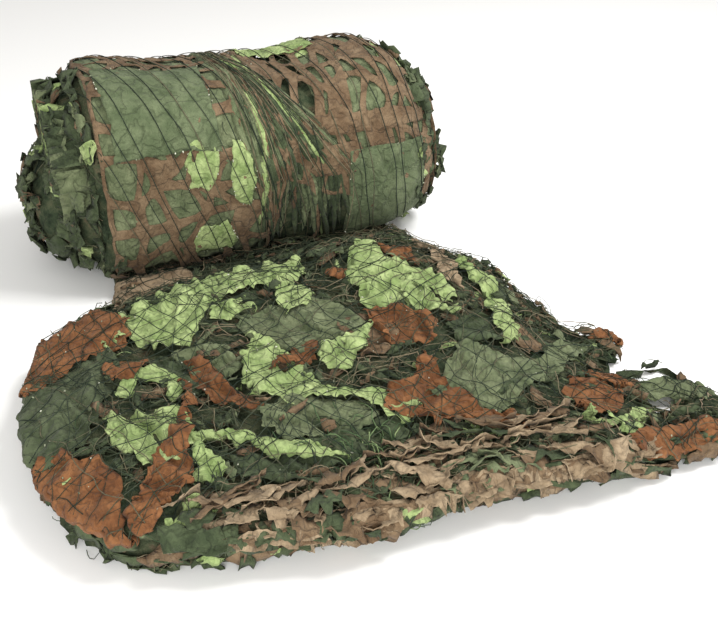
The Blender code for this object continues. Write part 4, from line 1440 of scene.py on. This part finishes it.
def latticeCloth(width, length, look, seed):
    # cloth cut to a mesh of uneven openings: a jittered grid whose cells are inset and cut out
    rng = random.Random(seed)
    columns = max(2, round(width / look["pitchX"]))
    rows = max(2, round(length / look["pitchY"]))
    bm = bmesh.new()
    bmesh.ops.create_grid(bm, x_segments=columns, y_segments=rows, size=0.5)
    for v in bm.verts:
        column = round((v.co.x + 0.5) * columns)
        row = round((v.co.y + 0.5) * rows)
        stagger = 0.5 * (row % 2) if 0 < column < columns else 0.0
        jitterX = rng.uniform(-1, 1) * look["jitter"] if 0 < column < columns else rng.uniform(-1, 1) * 0.1
        jitterY = rng.uniform(-1, 1) * look["jitter"] if 0 < row < rows else rng.uniform(-1, 1) * 0.15
        v.co.x = (column + stagger + jitterX) * width / columns
        v.co.y = (row + jitterY + look["lean"] * column) * length / rows
    split = [face for face in bm.faces if rng.random() < look["split"]]
    bmesh.ops.triangulate(bm, faces=split)
    for face in list(bm.faces):
        if rng.random() < look["closed"]:
            continue
        size = math.sqrt(face.calc_area())
        band = min(look["band"] * rng.uniform(0.6, 1.35), size * (0.30 if len(face.verts) == 4 else 0.24))
        bmesh.ops.inset_individual(bm, faces=[face], thickness=band, use_even_offset=True)
        bmesh.ops.delete(bm, geom=[face], context="FACES_ONLY")
    bmesh.ops.subdivide_edges(bm, edges=bm.edges, cuts=look["cuts"], use_grid_fill=True)
    for _ in range(look["soften"]):
        soften(bm)
    for v in bm.verts:
        if v.is_boundary:
            fray(v, 0.0022, 120, seed, seed + 5)
    loose = [v for v in bm.verts if not v.link_faces]
    bmesh.ops.delete(bm, geom=loose, context="VERTS")
    return bm


rollLattices = {
    "roll_taupe_left": {"past": (0.010, 0.010, -18, 14), "pitchX": 0.056, "pitchY": 0.060, "jitter": 0.34,
                        "band": 0.0086, "closed": 0.06, "split": 0.16, "lean": 0.0, "cuts": 2, "soften": 1,
                        "lift": 0.010},
    "roll_taupe_right": {"past": (0.015, 0.035, -6, 20), "pitchX": 0.034, "pitchY": 0.078, "jitter": 0.32,
                         "band": 0.0086, "closed": 0.07, "split": 0.10, "lean": -0.16, "cuts": 2, "soften": 1,
                         "lift": 0.010},
}


def makeRollLattices():
    made = []
    for number, (name, look) in enumerate(rollLattices.items()):
        xFirst, xLast, first, last = arcPast("cloth_" + name, look["past"])
        length = math.radians(last - first) * rollRadius
        bm = latticeCloth(xLast - xFirst, length, look, 31 + number)
        wrap(bm, xFirst, first, look["lift"], 0.0075, number + 1)
        bmesh.ops.recalc_face_normals(bm, faces=bm.faces)
        piece = pieceFrom(bm, name + "_lattice", "brown")
        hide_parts("cloth_" + name)
        addSolid(piece)
        made.append((piece, (xLast - xFirst, length), None))
    return made


# Cloths wound on the roll. Those with "past" replace the CAD cloth of their name and go past it by that much;
# the place of the others is two shares of the roll's length and two angles.
backPanel = {"lift": 0.014, "past": (0.0, 0.0, 0, 0)}
lightPatch = {"tone": "light_green", "lift": 0.007, "crinkle": 0.007}
rollPanels = {
    "roll_green_left": {"tone": "panel_green", "lift": 0.016, "crinkle": 0.0040, "past": (0.010, 0.008, -4, 4)},
    "roll_green_right": {"tone": "panel_green", "lift": 0.015, "crinkle": 0.0060,
                         "past": (0.012, 0.010, -4, 6)},
    "roll_light_top": {"tone": "light_green", "lift": 0.011, "crinkle": 0.010, "past": (0.0, 0.0, 4, 8)},
    "roll_green_back": {**backPanel, "tone": "panel_green", "crinkle": 0.005},
    "roll_rust_back": {**backPanel, "tone": "rust", "crinkle": 0.008},
    "roll_light_back": {**backPanel, "tone": "light_green", "crinkle": 0.008},
    "under_left": {"place": (0.150, 0.52, -42, 150), "tone": "mid_green", "lift": 0.004, "crinkle": 0.009},
    "under_right": {"place": (0.66, 0.98, -12, 170), "tone": "mid_green", "lift": 0.003, "crinkle": 0.009},
    "under_back": {"place": (0.12, 0.96, 150, 262), "tone": "dark_green", "lift": 0.004, "crinkle": 0.010},
    "light_a": {**lightPatch, "place": (0.33, 0.40, 2, 30), "lift": 0.0125},
    "light_b": {**lightPatch, "place": (0.43, 0.49, -6, 26), "lift": 0.0125},
    "light_c": {**lightPatch, "place": (0.34, 0.43, -36, -16), "lift": 0.0125},
    "light_d": {**lightPatch, "place": (0.45, 0.55, 76, 104)},
    "light_e": {**lightPatch, "place": (0.66, 0.74, 92, 118)},
    "light_f": {**lightPatch, "place": (0.86, 0.94, 60, 100)},
    "brown_cross": {"place": (0.64, 0.97, 22, 33), "tone": "brown", "lift": 0.014, "crinkle": 0.004},
    "brown_arch": {"place": (0.64, 0.76, 0, 16), "tone": "brown", "lift": 0.013, "crinkle": 0.007},
}


# How straight each cloth's sides are and how far its corners are torn off, for large and small ones by area.
panelCut = {"large": (0.025, 0.0), "small": (0.14, 0.10), "largeFrom": 0.015,
            "fineCell": 0.0062, "coarseCell": 0.0100, "coarseFrom": 0.04}


def makeRollPanels():
    made = []
    for number, (name, look) in enumerate(rollPanels.items()):
        if "past" in look:
            xFirst, xLast, first, last = arcPast("cloth_" + name, look["past"])
        else:
            span = rollHigh.x - rollLow.x
            xFirst, xLast = rollLow.x + span * look["place"][0], rollLow.x + span * look["place"][1]
            first, last = look["place"][2], look["place"][3]
        width, length = xLast - xFirst, math.radians(last - first) * rollRadius
        outline = []
        rng = random.Random(71 + number)
        uneven, blunt = panelCut["large"] if width * length > panelCut["largeFrom"] else panelCut["small"]
        for cornerA, cornerB in (((0, 0), (1, 0)), ((1, 0), (1, 1)), ((1, 1), (0, 1)), ((0, 1), (0, 0))):
            for share in (0.0, 0.33, 0.67):
                u = cornerA[0] + (cornerB[0] - cornerA[0]) * share + rng.uniform(-1, 1) * uneven
                w = cornerA[1] + (cornerB[1] - cornerA[1]) * share + rng.uniform(-1, 1) * uneven
                if share == 0.0:
                    u, w = u + blunt * (1 - 2 * cornerA[0]), w + blunt * (1 - 2 * cornerA[1])
                outline.append((u * width, w * length))
        cell = panelCut["fineCell"] if width * length < panelCut["coarseFrom"] else panelCut["coarseCell"]
        bm = cutCloth([(u - width / 2, w - length / 2) for u, w in outline], cell, 0.05)
        for v in bm.verts:
            v.co.x += width / 2
            v.co.y += length / 2
            if v.is_boundary:
                fray(v, 0.003, 90, number, number)
        wrap(bm, xFirst, first, look["lift"], look["crinkle"], 10 + number)
        bmesh.ops.recalc_face_normals(bm, faces=bm.faces)
        piece = pieceFrom(bm, "wound_" + name, look["tone"])
        if "past" in look:
            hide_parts("cloth_" + name)
        addSolid(piece)
        made.append((piece, (width, length), None))
    return made


# The gathered net between the two lattices: narrow pleats that run round the roll and fan out downward.
gatherLook = {
    "angles": (-56, 158), "middleTop": 0.475, "middleLow": 0.625, "wideTop": 0.032, "wideLow": 0.200,
    "topAngle": 100, "lowAngle": 0,
    "tones": {"dark_green": 70, "mid_green": 60, "brown": 20, "light_green": 16},
    "long": (40, 120), "wide": (0.009, 0.022), "lift": (0.003, 0.014), "wander": 0.012, "ridge": 0.007,
    "buckle": 0.004, "strandWander": 0.006, "strandLift": 0.001, "strandTaut": 14, "strands": 34,
}


def gatherX(angle, share):
    # x of a pleat: the share runs from one side of the gathered band to the other
    look = gatherLook
    t = min(1.0, max(0.0, (look["topAngle"] - angle) / (look["topAngle"] - look["lowAngle"]))) ** 1.4
    span = rollHigh.x - rollLow.x
    middle = rollLow.x + span * (look["middleTop"] + (look["middleLow"] - look["middleTop"]) * t)
    return middle + share * (look["wideTop"] + (look["wideLow"] - look["wideTop"]) * t)


def makeGathers():
    look, made = gatherLook, []
    cells, rows = 16, 2
    for number, (tone, count) in enumerate(look["tones"].items()):
        rng = random.Random(200 + number)
        leaves = []
        for _ in range(count):
            length = rng.uniform(*look["long"])
            first = rng.uniform(look["angles"][0], look["angles"][1] - length)
            share = rng.uniform(-0.55, 0.55)
            drift = rng.uniform(-0.34, 0.34)
            wide = rng.uniform(*look["wide"])
            lift = rng.uniform(*look["lift"])
            seedHere = rng.uniform(0, 900)
            points = []
            for i in range(cells + 1):
                angle = first + length * i / cells
                radians = math.radians(angle)
                x = gatherX(angle, share + drift * (i / cells - 0.5))
                x += look["wander"] * grain(angle * 0.05, seedHere, 0)
                base = meanRadius(x, radians) or coreRadius
                narrow = max(0.15, 1 - abs(2 * i / cells - 1) ** 4)
                for j in range(rows + 1):
                    side = 2.0 * j / rows - 1.0
                    ridge = look["ridge"] * (1 - side * side) * narrow
                    buckle = look["buckle"] * grain(angle * 0.12, side, seedHere + 7)
                    height = base + lift + ridge + buckle
                    points.append(rollPoint(x + side * wide / 2 * narrow, radians, height))
            leaves.append(points)
        piece, area = joinLeaves("gather_" + tone, leaves, cells, rows, tone)
        made.append((piece, area, ["roll_netting"]))
    return made


# The ends of the roll: thin scalloped layers wound in a spiral round a deep dark middle.
endLooks = {
    "roll_end_left": {"side": -1, "rings": 20, "out": (-0.020, 0.050), "from": 0.040, "deep": 0.060,
                      "inner": 0.040, "outer": 0.176, "scallop": 0.034, "seed": 5},
    "roll_end_right": {"side": 1, "rings": 14, "out": (-0.008, 0.020), "from": 0.020, "deep": 0.05,
                       "inner": 0.040, "outer": 0.168, "scallop": 0.020, "seed": 9},
}
endTones = ["dark_green", "dark_green", "mid_green", "dark_green", "dark_green", "dark_green", "mid_green",
            "dark_green", "brown", "brown", "dark_green", "mid_green", "dark_green", "dark_green"]


def atEnd(at, normal):
    # on the roll's ends, or on its side between the left end and the wound cloths
    return abs(normal.x) > 0.45 or at.x < rollLow.x + 0.085


endScrapLook = {"cells": 6, "rows": 2, "fold": 0.010, "curl": 0.010, "buckle": 0.008, "wave": 50}
endScrapLooks = {
    "end_scraps_dark": {**endScrapLook, "tone": "dark_green", "count": 300, "long": (0.030, 0.080),
                        "wide": (0.014, 0.034), "fold": 0.012, "curl": 0.012, "buckle": 0.009,
                        "lift": (0.001, 0.014)},
    "end_scraps_brown": {**endScrapLook, "tone": "brown", "count": 60, "long": (0.024, 0.070),
                         "wide": (0.010, 0.024), "lift": (0.002, 0.012)},
    "end_scraps_light": {**endScrapLook, "tone": "light_green", "count": 26, "long": (0.020, 0.050),
                         "wide": (0.010, 0.022), "lift": (0.002, 0.012)},
    "end_scraps_mid": {**endScrapLook, "tone": "mid_green", "count": 110, "long": (0.024, 0.060),
                       "wide": (0.010, 0.026), "lift": (0.001, 0.012)},
}


def makeEndScraps():
    made = []
    for number, (name, look) in enumerate(endScrapLooks.items()):
        rng = random.Random(190 + number)
        spots = surfacePoints(rollMass.data, look["count"], rng, atEnd)
        leaves = []
        for place, normal in spots:
            outward = Vector((0, place.y - rollMiddle.y, place.z - rollMiddle.z)).normalized()
            around = Vector((1, 0, 0)).cross(outward)
            heading = around + Vector([rng.uniform(-0.4, 0.4) for _ in range(3)])
            leaves.append(layLeaf(rollTree, place, normal, heading, rng, look, rng.uniform(*look["lift"])))
        piece, area = joinLeaves(name, leaves, look["cells"], look["rows"], look["tone"])
        made.append((piece, area, ["roll_netting"]))
    return made


def makeRollEnds():
    made = makeEndScraps()
    for name, look in endLooks.items():
        rng = random.Random(look["seed"])
        edge = rollLow.x if look["side"] < 0 else rollHigh.x
        groups = {}
        cells, rows = 16, 3
        for ring in range(look["rings"] * 4):
            share = (ring + 0.5) / (look["rings"] * 4)
            seedHere = rng.uniform(0, 900)
            tone = endTones[rng.randrange(len(endTones))]
            if rng.random() < 0.07:
                tone = "light_green"
            sweep = rng.uniform(0.05, 0.15) * math.tau / (0.35 + 0.65 * share)
            twist = rng.uniform(-0.022, 0.022)
            begin = rng.uniform(0, math.tau)
            points = []
            reach = rng.uniform(0.3, 1.0)
            for i in range(cells + 1):
                angle = begin + sweep * i / cells
                taper = max(0.15, 1 - abs(2 * i / cells - 1) ** 3)
                wanted = look["inner"] + (look["outer"] - look["inner"]) * share
                full = (meanRadius((rollLow.x + rollHigh.x) / 2 + look["side"] * 0.3, angle) or 0.19) - 0.008
                radius = min(wanted, full)
                frill = 0.5 + 0.5 * grain(angle * 3.0, seedHere, 4.0)
                out = look["out"][0] + (look["out"][1] - look["out"][0]) * reach * frill
                low = 0.55 - 0.45 * math.sin(angle)
                out *= low if look["side"] < 0 else 1.0
                for j in range(rows + 1):
                    deep = j / rows
                    wave = grain(angle * 7.0 * (0.4 + share), seedHere, deep * 1.4)
                    fine = grain(angle * 20.0 * (0.4 + share), seedHere + 8, deep * 2.5)
                    r = radius + (1.15 - deep) * look["scallop"] * (wave + 0.6 * fine - 0.3)
                    r += twist * (2 * i / cells - 1)
                    x = edge - look["side"] * (look["from"] - out * (1 - deep) * taper + look["deep"] * deep)
                    points.append(rollPoint(x, angle, min(r, full + 0.006)))
            groups.setdefault(tone, []).append(points)
        for tone, leaves in groups.items():
            piece, area = joinLeaves(name + "_" + tone, leaves, cells, rows, tone)
            made.append((piece, area, ["roll_netting"]))
    return made


def strandRound(tree, stations, lift, taut):
    # a strand drawn tight over what is under it, through places given as x and angle
    places, radii = [], []
    for x, angle in stations:
        radius = radiusAt(tree, x, angle)
        if radius is not None:
            places.append((x, angle))
            radii.append(radius)
    if len(radii) < 4:
        return None
    line = tautOver(np.array(radii) + lift, taut)
    return np.array([rollPoint(x, angle, radius) for (x, angle), radius in zip(places, line)])


def rollTwines(tree, look, seed):
    # strands that run round the roll, leaning a little, drawn tight over what is under them
    rng = random.Random(seed)
    made, tones = [], []
    x = look["from"]
    while x < look["to"]:
        first = math.radians(look["angles"][0] + rng.uniform(0, look["uneven"]))
        last = math.radians(look["angles"][1] - rng.uniform(0, look["uneven"]))
        steps = int((last - first) * 0.2 / look["step"])
        stations = []
        toRight = (x - look["from"]) / (look["to"] - look["from"])
        slope = look["lean"] * (1.15 - toRight) + rng.uniform(-1, 1) * look["spread"]
        for step in range(steps + 1):
            angle = first + (last - first) * step / steps
            drift = grain(x * 31, angle * 2.2, seed * 1.3) * look["wander"]
            stations.append((x + slope * (math.radians(60) - angle) + drift, angle))
        strand = strandRound(tree, stations, look["lift"], look["taut"])
        if strand is not None:
            made.append(strand)
            tones.append(rng.random())
        x += look["pitch"] * rng.uniform(1 - look["irregular"], 1 + look["irregular"])
    return made, tones


def gatherTwines(tree, seed):
    # the strands drawn together in the gathered band
    look, rng = gatherLook, random.Random(seed)
    made, tones = [], []
    for _ in range(look["strands"]):
        first = rng.uniform(look["angles"][0], 60)
        last = rng.uniform(max(first + 40, 60), look["angles"][1])
        share = rng.uniform(-0.6, 0.6)
        drift = rng.uniform(-0.25, 0.25)
        steps = int((last - first) / 2.5)
        stations = []
        for step in range(steps + 1):
            angle = first + (last - first) * step / steps
            x = gatherX(angle, share + drift * (step / steps - 0.5))
            x += look["strandWander"] * grain(angle * 0.05, share * 30, seed)
            stations.append((x, math.radians(angle)))
        strand = strandRound(tree, stations, look["strandLift"], look["strandTaut"])
        if strand is not None:
            made.append(strand)
            tones.append(rng.random())
    return made, tones


bpy.context.view_layer.update()
laidTree = treeOf(laidPieces)
scrapPieces = makeScraps()
report("scraps")
bandPieces = makeFrontBands()
bandPieces += makeBandStrips()
report("front bands")
latticePieces = makeRollLattices()
report("roll lattices")
panelPieces = makeRollPanels()
report("roll panels")
gatherPieces = makeGathers()
report("gathers")
endPieces = makeRollEnds()
report("roll ends")
clothPieces = [*scrapPieces, *bandPieces, *latticePieces, *panelPieces, *gatherPieces, *endPieces]

onRoll = [made[0] for made in [*latticePieces, *panelPieces, *gatherPieces]]
rollClothTree = treeOf([rollMass, *onRoll])
rollTwineLook = {"from": -0.42, "to": 0.40, "angles": (-70, 235), "uneven": 6, "lean": 0.075,
                 "spread": 0.01, "wander": 0.010, "pitch": 0.036, "irregular": 0.25, "step": 0.012,
                 "lift": 0.0015, "taut": 30}
twinePieces = [
    addTwine("roll_twine", rollTwines(rollClothTree, rollTwineLook, 5), 0.0009, "darkTwine"),
    addTwine("gather_twine", gatherTwines(rollClothTree, 6), 0.0008, "tangleTwine"),
]
report("roll twine")

heapClothTree = treeOf([heapMass, *laidPieces])
scrapTree = treeOf([heapMass, *[made[0] for made in scrapPieces]])
topNet = {"finish": "darkTwine", "tree": heapClothTree, "under": False}
lowNet = {"finish": "tangleTwine", "tree": scrapTree, "under": True, "step": 0.0095, "radius": 0.0007}
netLooks = {
    "heap_net_top": {**topNet, "mesh": 0.034, "leans": (28, 112), "slack": 0.05, "fine": 0.016,
                     "step": 0.0085, "breaks": 0.004, "lift": 0.0012, "taut": 30, "float": 0.001,
                     "radius": 0.00075},
    "heap_net_fine_top": {**topNet, "mesh": 0.033, "leans": (3, 74), "slack": 0.10, "fine": 0.030,
                          "step": 0.0080, "breaks": 0.030, "lift": 0.0010, "taut": 10, "float": 0.002,
                          "radius": 0.00050},
    "heap_net_low_a": {**lowNet, "mesh": 0.024, "leans": (63, 151), "slack": 0.09, "fine": 0.018,
                       "breaks": 0.02, "lift": 0.002, "taut": 12, "float": 0.008},
    "heap_net_low_b": {**lowNet, "mesh": 0.027, "leans": (8, 96), "slack": 0.08, "fine": 0.022,
                       "breaks": 0.03, "lift": 0.004, "taut": 8, "float": 0.012},
}
for number, (name, look) in enumerate(netLooks.items()):
    strands = heapNet(look["tree"], look, 3 + number)
    twinePieces.append(addTwine(name, strands, look["radius"], look["finish"]))
report("heap nets")
curlRadius = 0.00065
curlLooks = {
    "heap_curls": {"count": 1500, "length": (0.03, 0.11), "step": 0.0072, "bend": 0.5, "lift": 0.005,
                   "float": 0.014, "finish": "tangleTwine", "under": True},
    "heap_green_threads": {"count": 140, "length": (0.04, 0.12), "step": 0.008, "bend": 0.3, "lift": 0.006,
                           "float": 0.010, "finish": "greenTwine"},
    "heap_pale_threads": {"count": 40, "length": (0.04, 0.12), "step": 0.006, "bend": 0.3, "lift": 0.008,
                          "float": 0.010, "finish": "taupeTwine"},
}
for number, (name, look) in enumerate(curlLooks.items()):
    strands = curls(scrapTree, heapMass.data, look, 50 + number, openHere)
    twinePieces.append(addTwine(name, strands, curlRadius, look["finish"]))
report("heap curls")
rollCurlLook = {"count": 380, "length": (0.03, 0.12), "step": 0.008, "bend": 0.4, "lift": 0.006, "float": 0.010}
strands = curls(rollTree, rollMass.data, rollCurlLook, 60, lambda at, normal: True)
twinePieces.append(addTwine("roll_curls", strands, curlRadius, "tangleTwine"))
report("roll curls")


# The green bundle between the two front bands, and knots.

bundleLook = {"count": 150, "length": (0.05, 0.15), "step": 0.008, "bend": 0.16, "lift": 0.006, "float": 0.020,
              "gap": (-0.01, 0.02)}


def makeBundle():
    rng = random.Random(81)
    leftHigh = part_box("cloth_taupe_front_left")[1]
    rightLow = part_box("cloth_taupe_front_right")[0]
    made, tones = [], []
    spots = surfacePoints(heapMass.data, bundleLook["count"], rng, lambda at, normal: (
        leftHigh.x + bundleLook["gap"][0] < at.x < rightLow.x + bundleLook["gap"][1]
        and at.y < rightLow.y + 0.11 and normal.z > -0.3))
    for place, normal in spots:
        heading = Vector((rng.uniform(-0.5, 0.9), 1.0, rng.uniform(-0.2, 0.2)))
        path = wander(scrapTree, place, heading, rng.uniform(*bundleLook["length"]), bundleLook, rng)
        made.append(path)
        tones.append(rng.random())
    return made, tones


twinePieces.append(addTwine("green_bundle", makeBundle(), 0.0009, "greenTwine"))


def makeKnots():
    # small pale ties where the net is fixed to the cloths' edges and at some crossings
    rng = random.Random(91)
    spots = []
    for piece, _, _ in panelPieces:
        if "green" not in piece.name and "light" not in piece.name:
            continue
        bm = bmesh.new()
        bm.from_mesh(piece.data)
        edge = [(v.co.copy(), v.normal.copy()) for v in bm.verts if v.is_boundary]
        bm.free()
        spots += rng.sample(edge, min(len(edge), 16))
    for place, normal in surfacePoints(heapMass.data, 220, rng, lambda at, normal: normal.z > 0.2):
        hit, facing, _, _ = heapClothTree.ray_cast(place + up * 0.08, down)
        if hit is not None:
            spots.append((hit, facing))
    bm = bmesh.new()
    for place, normal in spots:
        size = rng.uniform(0.0008, 0.0016)
        turn = Euler([rng.uniform(0, 6) for _ in range(3)]).to_matrix().to_4x4()
        shape = Matrix.Diagonal((size * 1.7, size, size, 1))
        where = Matrix.Translation(place + normal * 0.0018) @ turn @ shape
        bmesh.ops.create_icosphere(bm, subdivisions=1, radius=1.0, matrix=where)
    tones = [rng.random() for _ in spots]
    count = len(bm.verts) // len(spots)
    piece = pieceFrom(bm, "tied_knots", "tiedKnots")
    attribute = piece.data.attributes.new("tone", "FLOAT", "POINT")
    attribute.data.foreach_set("value", np.repeat(np.array(tones), count).astype(np.float32))
    return piece


twinePieces.append(makeKnots())
report("bundle and knots")

# Every piece rides on the root, and each cloth's width and length are worked out.

for piece in [heapMass, rollMass, *laidPieces, *twinePieces, *[made[0] for made in clothPieces]]:
    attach(piece, "root")


sheetFacts = {"curved": 0.34, "curvedFill": 0.7, "least": 0.32, "most": 0.999, "gatheredWide": 0.30}


def declareLaid():
    for piece in laidPieces:
        cloth = laidCloths[piece.name[len("laid_"):]]
        outline = sizedOutline(cloth)
        xs, ys = [x for x, y in outline], [y for x, y in outline]
        wide, long = max(xs) - min(xs), max(ys) - min(ys)
        area = polygonArea(outline)
        if area < sheetFacts["curved"] * wide * long:
            # a curved strip is given as the strip's own width and length
            long = max(wide, long)
            wide = area / long / sheetFacts["curvedFill"]


def declareOthers():
    for piece, size, restsOn in clothPieces:
        if isinstance(size, tuple):
            wide, long = size
        else:
            wide = sheetFacts["gatheredWide"]
            long = max(size / wide, 0.01)


declareLaid()
declareOthers()

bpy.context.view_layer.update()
report("done")
